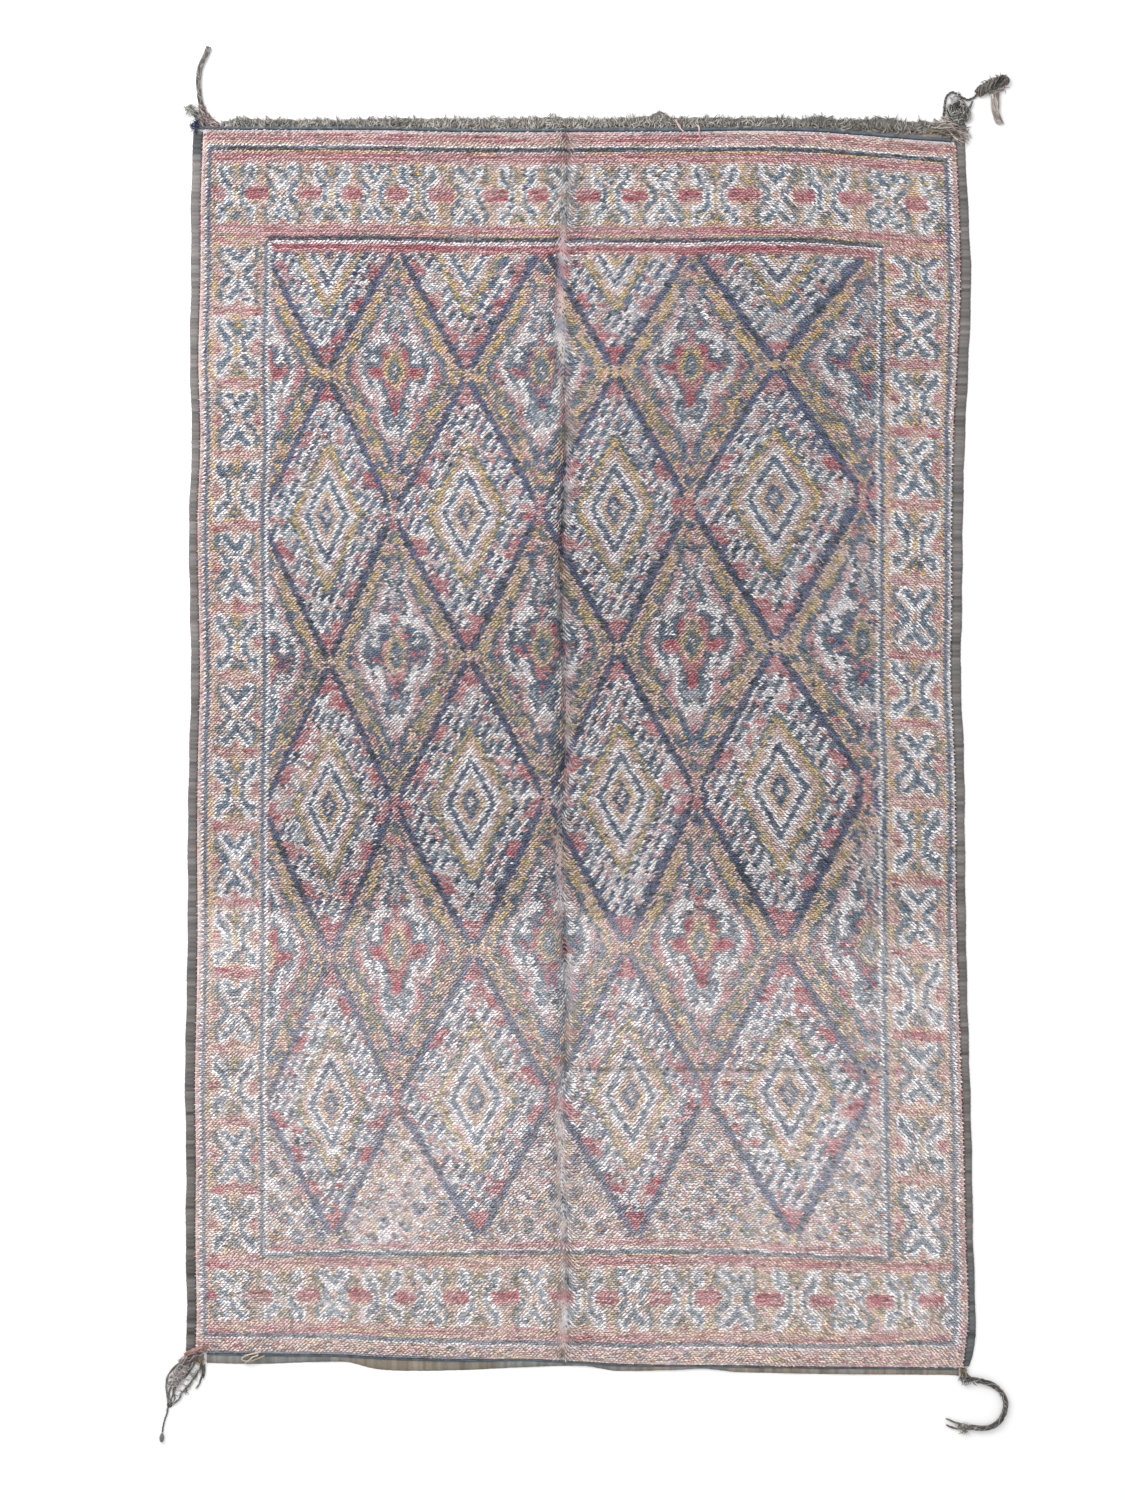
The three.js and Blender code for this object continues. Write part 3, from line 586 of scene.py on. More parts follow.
class RugColours(bpy.types.PropertyGroup):
    """Colours of the yarns, as they look in even light."""

    white: yarn_property("White", "Undyed wool, washed", (243, 240, 241))
    off_white: yarn_property("Off-white", "Undyed wool, aged", (219, 210, 209))
    peach: yarn_property("Peach", "Faded orange yarn", (227, 204, 192))
    pink: yarn_property("Pink", "Faded madder yarn", (220, 191, 192))
    rose: yarn_property("Rose", "Madder yarn", (209, 157, 160))
    red: yarn_property("Red", "Deep madder yarn", (193, 122, 131))
    ochre: yarn_property("Ochre", "Yellow-brown yarn", (224, 199, 152))
    olive: yarn_property("Olive", "Greenish yarn", (177, 170, 152))
    teal: yarn_property("Teal", "Faded blue-green yarn", (131, 147, 163))
    indigo: yarn_property("Indigo", "Deep blue yarn", (119, 127, 155))
    slate: yarn_property("Slate", "Darkest blue-green yarn", (94, 106, 118))
    grey_blue: yarn_property("Grey-blue", "Pale indigo yarn", (194, 202, 210))
    grey: yarn_property("Grey", "Natural grey wool", (160, 156, 158))
    goat_hair: yarn_property("Goat hair", "Selvedge yarn", (139, 134, 132))
    kilim: yarn_property("Kilim", "Weft of the woven end bands", (152, 148, 142))
    fringe: yarn_property("Fringe", "Brushed warp ends", (186, 181, 174))
    dark_cord: yarn_property("Dark cord", "Grey plaits, cords and knob", (112, 110, 108))


class StageSettings(bpy.types.PropertyGroup):
    """The floor, the light and the camera."""

    floor_colour: yarn_property("Floor", "The pale floor", (250, 250, 250))
    sky_strength: bpy.props.FloatProperty(
        name="Sky strength", description="Strength of the even light from all round", default=0.86)
    key_strength: bpy.props.FloatProperty(
        name="Key light", description="Power of the broad light, in watts", default=280.0)
    camera_x: length_property("Camera X", "Where the picture's middle lies across", -0.022)
    camera_y: length_property("Camera Y", "Where the picture's middle lies up", 0.006)
    picture_height: length_property("Picture height", "Length of floor that the picture shows", 3.675)
    lens: bpy.props.FloatProperty(
        name="Lens", description="Focal length", default=85.0, unit="CAMERA")


# Meshes

def add_piece(name, shape, kind, uv=None):
    """Makes a mesh piece from whole arrays and lets it ride on the rug. shape is points in mm, faces and
    tints: faces is a list of index arrays, one for each number of corners, and tints holds a linear colour
    for each point. kind names the wool, and uv is (layer name, corners)."""
    mesh = bpy.data.meshes.new(name)
    points, faces, tints = shape
    points = np.asarray(points * MM, np.float32)
    faces = [np.asarray(group, np.int32) for group in faces]
    corners = np.concatenate([group.ravel() for group in faces])
    sizes = np.concatenate([np.full(len(group), group.shape[1]) for group in faces])
    mesh.vertices.add(len(points))
    mesh.vertices.foreach_set("co", points.ravel())
    mesh.loops.add(len(corners))
    mesh.loops.foreach_set("vertex_index", corners)
    mesh.polygons.add(len(sizes))
    starts = np.concatenate([[0], np.cumsum(sizes)[:-1]])
    mesh.polygons.foreach_set("loop_start", starts.astype(np.int32))
    mesh.polygons.foreach_set("use_smooth", np.full(len(sizes), True))
    colours = np.ones((len(points), 4), np.float32)
    colours[:, :3] = tints
    mesh.color_attributes.new("Tint", "FLOAT_COLOR", "POINT").data.foreach_set("color", colours.ravel())
    if uv is not None:
        layer, places = uv
        mesh.uv_layers.new(name=layer).data.foreach_set("uv", np.asarray(places, np.float32).ravel())
    mesh.update(calc_edges=True)
    mesh.materials.append(wool(kind))
    piece = bpy.data.objects.new(name, mesh)
    bpy.context.scene.collection.objects.link(piece)
    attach(piece, "root")
    return piece


def walked_length(points):
    """How far along a path each of its points lies: the steps between them, added up."""
    return np.concatenate([[0], np.cumsum(np.linalg.norm(np.diff(points, axis=0), axis=1))])


def spline(route, count, height=0.0):
    """Evenly spaced points on a smooth curve through a route: a uniform cubic through the points, walked by
    its own length. Lengths are mm, and a route whose points have no height of their own lies at height."""
    knots = np.asarray(route, float)
    if knots.shape[1] == 2:
        knots = np.column_stack([knots, np.full(len(knots), float(height))])
    padded = np.vstack([2 * knots[0] - knots[1], knots, 2 * knots[-1] - knots[-2]])
    at = np.linspace(0, len(knots) - 1, 40 * len(knots))
    row = np.minimum(at.astype(int), len(knots) - 2)
    share = (at - row)[:, None]
    before, start, end, after = (padded[row + step] for step in range(4))
    fine = 0.5 * (
        2 * start + (end - before) * share + (2 * before - 5 * start + 4 * end - after) * share**2
        + (3 * start - before - 3 * end + after) * share**3
    )
    walked = walked_length(fine)
    even = np.linspace(0, walked[-1], count)
    return np.column_stack([np.interp(even, walked, fine[:, axis]) for axis in range(3)])


def frames(paths):
    """Side and up directions along paths (strands, steps, 3): the side is level and square to the path, and
    up is square to both."""
    ahead = np.gradient(paths, axis=-2)
    ahead /= np.maximum(np.linalg.norm(ahead, axis=-1, keepdims=True), 1e-9)
    side = np.stack([ahead[..., 1], -ahead[..., 0], np.zeros(ahead.shape[:-1])], axis=-1)
    side += np.array([1e-6, 0, 0])
    side /= np.linalg.norm(side, axis=-1, keepdims=True)
    return side, np.cross(side, ahead)


def ring_walls(rings, around):
    """Quads between rings of points that follow one another, each ring closed on itself."""
    step, corner = np.meshgrid(np.arange(rings - 1), np.arange(around), indexing="ij")
    here, beside = step * around + corner, step * around + (corner + 1) % around
    return np.stack([here, here + around, beside + around, beside], axis=-1).reshape(-1, 4)


def yarns(paths, radii, sides, tints):
    """Round yarns along paths (strands, steps, 3): a ring of sides round each step, drawn to a point just
    past either end. radii is (strands, steps), and tints (strands, 3) or (strands, steps, 3). Returns points,
    faces and a tint for each point."""
    paths = np.asarray(paths, float)
    strands, steps = paths.shape[:2]
    radii = np.broadcast_to(np.asarray(radii, float), (strands, steps))
    side, up = frames(paths)
    angles = 2 * np.pi * np.arange(sides) / sides
    around = np.cos(angles)[:, None] * side[:, :, None] + np.sin(angles)[:, None] * up[:, :, None]
    rings = paths[:, :, None] + around * radii[:, :, None, None]
    ends = paths[:, [0, -1]] + (paths[:, [0, -1]] - paths[:, [1, -2]]) * 0.3
    points = np.concatenate([rings.reshape(strands, -1, 3), ends], axis=1)
    ring = np.arange(sides)
    next_ring = (ring + 1) % sides
    first_tip, last = steps * sides, (steps - 1) * sides
    caps = np.concatenate([
        np.column_stack([np.full(sides, first_tip), ring, next_ring]),
        np.column_stack([np.full(sides, first_tip + 1), last + next_ring, last + ring]),
    ])
    offset = (np.arange(strands) * points.shape[1])[:, None, None]
    tints = np.asarray(tints, float)
    if tints.ndim == 2:
        tints = np.broadcast_to(tints[:, None], (strands, steps, 3))
    tint = np.concatenate([np.repeat(tints, sides, axis=1), tints[:, [0, -1]]], axis=1)
    faces = [(ring_walls(steps, sides) + offset).reshape(-1, 4), (caps + offset).reshape(-1, 3)]
    return points.reshape(-1, 3), faces, tint.reshape(-1, 3)


def joined(parts):
    """One set of points, faces and tints from several."""
    points, tints, quads, triangles, start = [], [], [], [], 0
    for part_points, (part_quads, part_triangles), part_tints in parts:
        points.append(part_points)
        tints.append(part_tints)
        quads.append(part_quads + start)
        triangles.append(part_triangles + start)
        start += len(part_points)
    return np.vstack(points), [np.vstack(quads), np.vstack(triangles)], np.vstack(tints)


def bundle(route, count, steps, spread, turns, salt, wander=0.0, height=0.0):
    """Strands that run together along a route: each keeps a place in a disc across it, the disc turns as it
    goes, and slow sines let a strand wander. Lengths in mm."""
    spine = spline(route, steps, height)[None]
    side, up = frames(spine)
    index = np.arange(count)[:, None]
    along = np.linspace(0, 1, steps)[None]
    out = spread * np.sqrt(0.15 + 0.85 * chance(index, 0, salt))
    angle = 2 * np.pi * (index / count + turns * along)
    sway, lift = (
        wander * np.sin(2 * np.pi * (along * (1 + 2 * chance(index, rate, salt)) + chance(index, at, salt)))
        for rate, at in ((1, 2), (3, 4))
    )
    across = (out * np.cos(angle) + sway)[..., None]
    rise = (out * np.sin(angle) + lift)[..., None]
    return spine + side * across + up * rise


def shaded(colour, count, salt, spread=0.18):
    """The same yarn dyed a little lighter or darker for each strand."""
    light = 1 + spread * (2 * chance(np.arange(count), 7, salt) - 1)
    return linear(colour)[None] * light[:, None]


# Knots and their yarns

class Knots:
    """The yarn of every end on the flat cloth, held as a place in LETTERS. across and down are in mm, and
    row, column and line are whole numbers that chance is drawn from: a knot's two ends are on two lines."""

    def __init__(self, across, down, row, column, line):
        self.across, self.down, self.row, self.column, self.line = across, down, row, column, line
        self.yarn = np.full(across.shape, LETTERS.index("w"))

    def fill(self, where, letters, weights=(1,), salt=0, run=2.6, patch=None, fine=False):
        """Gives the knots of a region yarns by chance, in proportion to the weights. Neighbours share a yarn:
        in runs of that many knots along a row, along one line of ends if fine, or in soft patches."""
        row = self.line if fine else self.row
        start = run * chance(0, row, salt + 500)
        drawn = chance(np.floor((self.column + start) / run), row, salt)
        if patch is not None:
            drawn = np.clip((patches(self.column, self.row * 1.3, patch, salt) - 0.5) * 1.7 + 0.5, 0, 0.9999)
        picked = np.searchsorted(np.cumsum(weights) / np.sum(weights), drawn, side="right")
        codes = np.array([LETTERS.index(letter) for letter in letters])
        self.yarn[where] = codes[np.minimum(picked, len(codes) - 1)][where]

    def copy_chart(self, where, chart, chart_row, chart_column, missed, salt):
        """Copies a knot chart on to a region. A share of the knots is missed, as if tied from memory."""
        rows, columns = chart.shape
        inside = where & (chart_row >= 0) & (chart_row < rows)
        inside &= (chart_column >= 0) & (chart_column < columns)
        tied = chart[np.clip(chart_row, 0, rows - 1), np.clip(chart_column, 0, columns - 1)]
        inside &= (tied >= 0) & (chance(self.column, self.row, salt) > missed)
        self.yarn[inside] = tied[inside]

    def swap(self, where, before, after, share, salt):
        """Ties a share of one yarn's knots in another."""
        changed = where & (self.yarn == LETTERS.index(before)) & (chance(self.column, self.row, salt) < share)
        self.yarn[changed] = LETTERS.index(after)


def chart_array(lines, width):
    """A knot chart as places in LETTERS, -1 where a line is short."""
    chart = np.full((len(lines), width), -1)
    for number, line in enumerate(lines):
        chart[number, :len(line)] = [LETTERS.index(letter) for letter in line]
    return chart


def passed(edges, at):
    """How many of the rising edges each value has passed, less one, plus its share of the way to the next."""
    count = np.zeros(at.shape)
    for number in range(len(edges) - 1):
        share = (at - edges[number]) / (edges[number + 1] - edges[number])
        count = np.where(share >= 0, number + np.clip(share, 0, 1), count)
    return count


def lattice_place(across, down):
    """Each knot's column and row in the lattice: columns lean evenly from top to bottom, and rows follow a
    parabola through their three heights."""
    share = (down - LATTICE_SPAN[0]) / (LATTICE_SPAN[1] - LATTICE_SPAN[0])
    left, middle, right = LATTICE_THIRDS
    near_left = (across - middle) * (across - right) / ((left - middle) * (left - right))
    near_middle = (across - left) * (across - right) / ((middle - left) * (middle - right))
    near_right = (across - left) * (across - middle) / ((right - left) * (right - middle))
    columns = [mix(line["top"], line["bottom"], share) for line in LATTICE_COLUMNS]
    rows = [
        line["left"] * near_left + line["middle"] * near_middle + line["right"] * near_right
        for line in LATTICE_ROWS
    ]
    return passed(columns, across) - 1, passed(rows, down) - 1


def from_middle(column, row):
    """Places in the lattice as seen from the middle of their pale diamond: across, down, and how far out they
    are, which is 1 on the diamond's outline. Also where that middle stands."""
    middle_column, middle_row = 2 * np.floor(column / 2) + 1, 2 * np.round(row / 2)
    across, down = column - middle_column, row - middle_row
    return across, down, np.abs(across) + np.abs(down), middle_column, middle_row


def tie_pale_diamonds(knots, column, row):
    """Pale diamonds: a ringed eye on a white ground of slanting dashes, with rose patches along the edges."""
    across, down, out, middle_column, middle_row = from_middle(column, row)
    pale = out < 1
    rim = pale & (out > 0.80) & (out < OUTLINE_START)
    knots.fill(pale, "RKPwWB", [5, 21, 12, 21, 29, 12], 1, patch=1.6)
    stripe = (across + down) / DASH_PITCH
    line = np.floor(stripe)
    thickness = stripe - line
    run = (across - down + chance(line, middle_column * 3 + middle_row * 7, 2) * 0.6) / DASH_LENGTH
    dashes = pale & (out > DASHES_START) & (out < OUTLINE_START) & (run - np.floor(run) < 0.74)
    dashes &= chance(line * 5 + middle_column, np.floor(run) * 3 + middle_row, 3) > 0.14
    knots.fill(dashes & (thickness < 0.45), "TNS", [58, 28, 14], 5, run=4)
    knots.fill(dashes & (thickness >= 0.45) & (thickness < 0.82), "W", salt=6)
    side = np.sign(across)
    step = row * HALF_ROWS + 4 * side
    drawn = chance(np.floor(step / 9), middle_column * 7 + side * 3 + middle_row * 31, 11)
    patch = rim & (np.mod(step, 9) < 4.2) & (drawn > np.where(down > 0, 0.45, 0.6))
    knots.fill(patch, "RDK", [60, 18, 22], 12, run=5, fine=True)
    knots.fill(rim & (down > 0.80), "RKD", [58, 26, 16], 14, run=5, fine=True)
    knots.fill(rim & (down < -0.80), "RKD", [54, 34, 12], 15, run=5, fine=True)
    for number, (start, end, letters, weights) in enumerate(EYE_RINGS):
        knots.fill(pale & (out >= start) & (out < end), letters, weights, 20 + number, run=3)
    return out


def tie_dark_diamonds(knots, column, row):
    """Dark diamonds: a charted medallion on a mixed ground, inside a band of ochre and dark blocks."""
    middle_column, middle_row = 2 * np.round(column / 2), 2 * np.floor(row / 2) + 1
    across, down = column - middle_column, row - middle_row
    out = np.abs(across) + np.abs(down)
    dark = out < 1
    knots.fill(dark, "TNGOPKwB", [27, 16, 12, 11, 12, 8, 6, 8], 30, patch=1.5)
    band = dark & (out > 0.76) & (out < OUTLINE_START)
    step = down * HALF_ROWS + 100 + 3 * np.sign(across) + 2 * chance(middle_column, middle_row, 37)
    block = np.mod(step, 6.6) < 3.0
    inner = dark & (out < 0.90)
    knots.fill(band, "KOTPGR", [16, 24, 18, 18, 16, 8], 32, patch=1.3)
    knots.fill(band & block & inner, "TGNO", [46, 20, 26, 8], 33, run=2)
    knots.fill(band & (out > 0.90), "PKOG", [42, 26, 20, 12], 31, patch=1.4)
    knots.fill(inner & (np.abs(down) > 0.74) & ~band, "GPOKT", [16, 28, 22, 14, 20], 34, patch=1.6)
    chart_column = np.floor(np.abs(across) * 23.7 + 0.35).astype(int)
    chart_row = np.floor(down * MEDALLION_ROWS + MEDALLION_MIDDLE_ROW + 0.5).astype(int)
    knots.copy_chart(inner, chart_array(MEDALLION, 24), chart_row, chart_column, 0.03, 35)
    cooler = 0.5 + 0.3 * (np.round(middle_row) == 3)
    cool = dark & (out < 0.80) & (chance(middle_column, middle_row, 38) < cooler)
    for before, after, share in COOLER_YARNS:
        knots.swap(cool, before, after, share, 39)


def tie_outlines(knots, column, row):
    """Indigo outlines two knots wide, broken at the crossings by small rose or ochre bows."""
    out = from_middle(column, row)[2]
    knots.fill(np.abs(out - 1) < OUTLINE_HALF_WIDTH, "NS", [76, 24], 40, run=5)
    near_column, near_row = np.round(column), np.round(row)
    crossing = np.mod(near_column + near_row, 2) == 0
    even = np.mod(near_row, 2) == 0
    beside, above = np.abs(column - near_column) * HALF_COLUMNS, np.abs(row - near_row) * HALF_ROWS
    knots.fill(crossing & (above < 3.4) & (beside < 0.9 + above * 0.25) & even, "RKP", [50, 32, 18], 41)
    knots.fill(crossing & (above < 1.5) & (beside < 1.2) & ~even, "OP", [40, 60], 42)


def tie_lower_triangles(knots, row, out):
    """The last half row of diamonds: small indigo rosettes on a pale ground."""
    low = (row > 6) & (out >= 1)
    knots.fill(low, "wPWOK", [32, 24, 26, 8, 10], 44, patch=1.2)
    across, down = (knots.across - 480) / 59, (knots.down - 2400) / 42
    turn, drawn = np.mod(np.floor(down), 2), chance(np.floor(across + 0.5), np.floor(down), 48)
    beside = np.abs(np.mod(across + turn * 0.5, 1) - 0.5) * 7.9
    above = np.abs(np.mod(down, 1) - 0.5) * 4.2
    spot = low & (row > 6.15) & (out > 1.1) & (beside + above < 1.9 + 0.9 * drawn)
    knots.fill(spot, "BTNGO", [28, 40, 12, 12, 8], 45, run=2)
    knots.fill(spot & (beside < 0.6) & (above < 0.6), "RPw", [40, 30, 30], 46)
    knots.fill((np.abs(out - 1) < 0.044) & (row > 6), "NTB", [62, 26, 12], 47)


def tie_side_border(knots, where, marks, start, end, first, right):
    """One side border: the two figures take turns down it, with rose bars between and pale columns beside."""
    forked, waisted = chart_array(FORKED_FIGURE, 13), chart_array(WAISTED_FIGURE, 13)
    marks = np.array(marks, float)
    knots.fill(where, "PKwG", [44, 22, 26, 8], 60, patch=1.5)
    above = np.clip(np.searchsorted(marks, knots.down) - 1, 0, len(marks) - 2)
    share = (knots.down - marks[above]) / (marks[above + 1] - marks[above])
    chart_row = np.floor(share * 17.4 - 1.2).astype(int)
    chart_column = np.floor((knots.across - start) / (end - start) * 15 - 1).astype(int)
    turn = np.mod(above + first, 2) == 0
    knots.copy_chart(where & turn, forked, chart_row, chart_column, 0.04, 61)
    knots.copy_chart(where & ~turn, waisted, chart_row, chart_column, 0.04, 61)
    inside = (chart_column >= 0) & (chart_column < 13)
    waist = where & inside & (np.abs(chart_row - 7) < 2) & ((chart_column < 2) | (chart_column > 10))
    knots.fill(waist, "RKP", [50, 28, 22], 62, run=3, fine=True)
    gaps = np.abs(knots.down[:, None] - marks[None])
    nearest = np.argmin(gaps, axis=1)
    bar = where & inside & (gaps[np.arange(len(nearest)), nearest] < 11)
    knots.fill(bar, "RKPD", [42, 32, 16, 10], 64, run=4, fine=True)
    knots.fill(bar & (chance(nearest, right, 63) < 0.35), "PKR", [45, 35, 20], 65, run=4, fine=True)
    knots.fill(where & ~inside, "POKw", [42, 22, 16, 20], 66, patch=1.8)


def tie_end_border(knots, where, marks, start, end, first):
    """One end border: the two figures take turns across it, with red lozenges at their waists. Some of their
    teal knots are tied in paler yarns."""
    forked, waisted = chart_array(FORKED_FIGURE, 13), chart_array(WAISTED_FIGURE, 13)
    marks = np.array(marks, float)
    knots.fill(where, "POKwG", [34, 14, 14, 26, 12], 70, patch=1.5)
    near = np.searchsorted((marks[1:] + marks[:-1]) / 2, knots.across)
    width = np.gradient(marks)[near]
    chart_column = np.floor((knots.across - marks[near]) / width * 15.2 + 6.5).astype(int)
    chart_row = np.floor((knots.down - start) / (end - start) * 15).astype(int)
    turn = np.mod(near + first, 2) == 0
    knots.copy_chart(where & turn, waisted, chart_row, chart_column, 0.03, 71)
    knots.copy_chart(where & ~turn, forked, chart_row, chart_column, 0.03, 71)
    knots.swap(where, "T", "B", 0.22, 73)
    knots.swap(where, "T", "G", 0.16, 74)
    edge = np.abs(chart_column - 6) > np.where(turn, 3.4, 4.4)
    knots.fill(where & edge & (np.abs(chart_row - 7.2) < 1.5), "RDK", [50, 28, 22], 72, run=6, fine=True)


def tie_stripes(knots, where, at, stripes, salt):
    """Stripes of the frame, in long runs of one yarn. at is each knot's distance from the stripes' line."""
    for number, (start, end, letters, weights) in enumerate(stripes):
        knots.fill(where & (at >= start) & (at < end), letters, weights, salt + number, run=8, fine=True)


def tie_frame(knots, across, down):
    """The frame: figured borders on four sides, with fine stripes along them."""
    right_in = np.interp(down, RIGHT_LINES["down"], RIGHT_LINES["inner"])
    right_out = np.interp(down, RIGHT_LINES["down"], RIGHT_LINES["outer"])
    low_in = np.interp(across, BOTTOM_LINES["across"], BOTTOM_LINES["inner"])
    low_out = np.interp(across, BOTTOM_LINES["across"], BOTTOM_LINES["outer"])
    beside = (down > 245) & (down < low_in + 14)
    left, right = (across < LEFT_INNER_LINE - 4) & beside, (across > right_in + 6) & beside
    tie_side_border(knots, left, LEFT_BARS, LEFT_OUTER_LINE + 8, LEFT_INNER_LINE - 5, 0, 0)
    tie_side_border(knots, right, RIGHT_BARS, right_in + 10, right_out - 6, 1, 1)
    tie_end_border(knots, down < 256, TOP_FIGURES, 78, 232, 0)
    tie_end_border(knots, down > low_in + 12, BOTTOM_FIGURES, low_in + 36, low_out - 34, 1)
    inside = (across > LEFT_OUTER_LINE - 4) & (across < right_out + 4)
    field = (across > LEFT_INNER_LINE - 2) & (across < right_in + 4)
    tie_stripes(knots, True, down, EDGE_STRIPES, 80)
    tie_stripes(knots, inside, down, TOP_STRIPES, 84)
    knots.fill(~field & inside & (down >= 260) & (down < 285), "PKRO", [45, 30, 15, 10], 100, fine=True)
    tie_stripes(knots, field, down, FIELD_TOP_STRIPES, 110)
    tie_stripes(knots, field, down - low_in, FIELD_BOTTOM_STRIPES, 120)
    below = inside & (down >= low_in + 14) & (down < low_in + 36)
    knots.fill(below, "RKP", [34, 40, 26], 126, run=8, fine=True)
    tie_stripes(knots, inside, down - low_out, BOTTOM_STRIPES, 130)
    knots.fill(down >= low_out + 10, "PKwORT", [44, 24, 19, 6, 4, 3], 136, run=2, fine=True)
    sides = (down > 38) & (down < low_out + 6)
    tie_stripes(knots, sides, across, LEFT_STRIPES, 140)
    lines = (down > 274) & (down < low_in + 4)
    tie_stripes(knots, lines, across - LEFT_INNER_LINE, FIELD_LEFT_STRIPES, 144)
    tie_stripes(knots, lines, across - right_in, FIELD_RIGHT_STRIPES, 148)
    tie_stripes(knots, sides, across - right_out, RIGHT_STRIPES, 152)
    knots.fill((down > 2994) & (across < 700), "SNE", [50, 25, 25], 156)


def tie_rug(across, down, row, column, line):
    """The yarn of every end, as a place in LETTERS. In the diamonds and figures an end's tip strays a few mm
    from its knot, and takes the yarn of the place where it comes out. The outlines stray less."""
    stray_across = STRAY * (chance(column * 2 + line % 2, line, 51) - 0.5)
    stray_down = STRAY * (chance(column * 2 + line % 2, line, 52) - 0.5)
    knots = Knots(across + stray_across, down + stray_down, row, column, line)
    lattice_column, lattice_row = lattice_place(knots.across, knots.down)
    tie_dark_diamonds(knots, lattice_column, lattice_row)
    out = tie_pale_diamonds(knots, lattice_column, lattice_row)
    tie_lower_triangles(knots, lattice_row, out)
    lattice_column, lattice_row = lattice_place(mix(across, knots.across, 0.35), mix(down, knots.down, 0.35))
    tie_outlines(knots, lattice_column, lattice_row)
    tie_frame(knots, across, down)
    return knots.yarn


def yarn_light(colours, yarn, across, down):
    """Linear colour of each end: its yarn's colour, washed out below the dye change. Above the change the
    field is duskier on its right, and across its middle the blue yarns are darker and the ochre ones
    duller."""
    palette = np.array([linear(getattr(colours, YARN_LETTERS[letter])) for letter in LETTERS])
    washed = np.clip((down - DYE_CHANGE) / 70, 0, 1)
    field = smooth((across - 150) / 80) * smooth((1720 - across) / 80) * smooth((down - 260) / 60)
    right = smooth((across - 850) / 250) * (1 - smooth((down - 900) / 500))
    blue = np.isin(yarn, [LETTERS.index(letter) for letter in "TNSB"])
    middle = smooth((down - 880) / 250)
    dusk = field * (1 - washed) * (0.11 * right + 0.10 * middle * np.where(blue, 2.0, 0.5))
    ochre = yarn == LETTERS.index("O")
    faded = washed * np.where(blue, 0.26, np.where(ochre, 0.40, 0.10))
    light = mix(palette[yarn], linear(display(*WASHED)), faded[:, None])
    dulled = 0.35 * field * middle * (1 - washed) * ochre
    light = mix(light, palette[LETTERS.index("G")], dulled[:, None])
    return light * ((1 - dusk) * (1 + 0.15 * washed))[:, None]


# Materials

def wool_fibre_group():
    """Shader group: mottles a colour with noise and gives a fibre bump."""
    group = bpy.data.node_groups.new("Wool fibre", "ShaderNodeTree")
    for name, kind in (("Colour", "Color"), ("Scale", "Float"), ("Strength", "Float")):
        group.interface.new_socket(name, in_out="INPUT", socket_type=f"NodeSocket{kind}")
    group.interface.new_socket("Colour", in_out="OUTPUT", socket_type="NodeSocketColor")
    group.interface.new_socket("Normal", in_out="OUTPUT", socket_type="NodeSocketVector")
    nodes, links = group.nodes, group.links
    entry, leave = nodes.new("NodeGroupInput"), nodes.new("NodeGroupOutput")
    place, noise = nodes.new("ShaderNodeTexCoord"), nodes.new("ShaderNodeTexNoise")
    noise.inputs["Detail"].default_value = 3.0
    links.new(place.outputs["Object"], noise.inputs["Vector"])
    links.new(entry.outputs["Scale"], noise.inputs["Scale"])
    span, blend = nodes.new("ShaderNodeMapRange"), nodes.new("ShaderNodeMix")
    bump = nodes.new("ShaderNodeBump")
    for socket, value in (("From Min", 0.3), ("From Max", 0.7), ("To Min", 0.84), ("To Max", 1.14)):
        span.inputs[socket].default_value = value
    blend.data_type = "RGBA"
    blend.blend_type = "MULTIPLY"
    blend.inputs[0].default_value = 1.0
    links.new(noise.outputs["Fac"], span.inputs["Value"])
    links.new(entry.outputs["Colour"], blend.inputs[6])
    links.new(span.outputs["Result"], blend.inputs[7])
    bump.inputs["Distance"].default_value = 0.002
    links.new(entry.outputs["Strength"], bump.inputs["Strength"])
    links.new(noise.outputs["Fac"], bump.inputs["Height"])
    links.new(blend.outputs[2], leave.inputs["Colour"])
    links.new(bump.outputs["Normal"], leave.inputs["Normal"])
    return group


def wool(kind):
    """A wool material from WOOLS: the piece's Tint attribute through the fibre group."""
    name = f"{kind.capitalize()} wool"
    known = bpy.data.materials.get(name)
    if known is not None:
        return known
    scale, strength = WOOLS[kind]
    group = bpy.data.node_groups.get("Wool fibre") or wool_fibre_group()
    material = bpy.data.materials.new(name)
    material.use_nodes = True
    nodes, links = material.node_tree.nodes, material.node_tree.links
    surface = nodes["Principled BSDF"]
    tint, fibre = nodes.new("ShaderNodeAttribute"), nodes.new("ShaderNodeGroup")
    tint.attribute_name = "Tint"
    fibre.node_tree = group
    fibre.inputs["Scale"].default_value = scale
    fibre.inputs["Strength"].default_value = strength
    links.new(tint.outputs["Color"], fibre.inputs["Colour"])
    links.new(fibre.outputs["Colour"], surface.inputs["Base Color"])
    links.new(fibre.outputs["Normal"], surface.inputs["Normal"])
    surface.inputs["Roughness"].default_value = WOOL_ROUGHNESS
    surface.inputs["Specular IOR Level"].default_value = WOOL_SPECULAR
    return material


# Operators

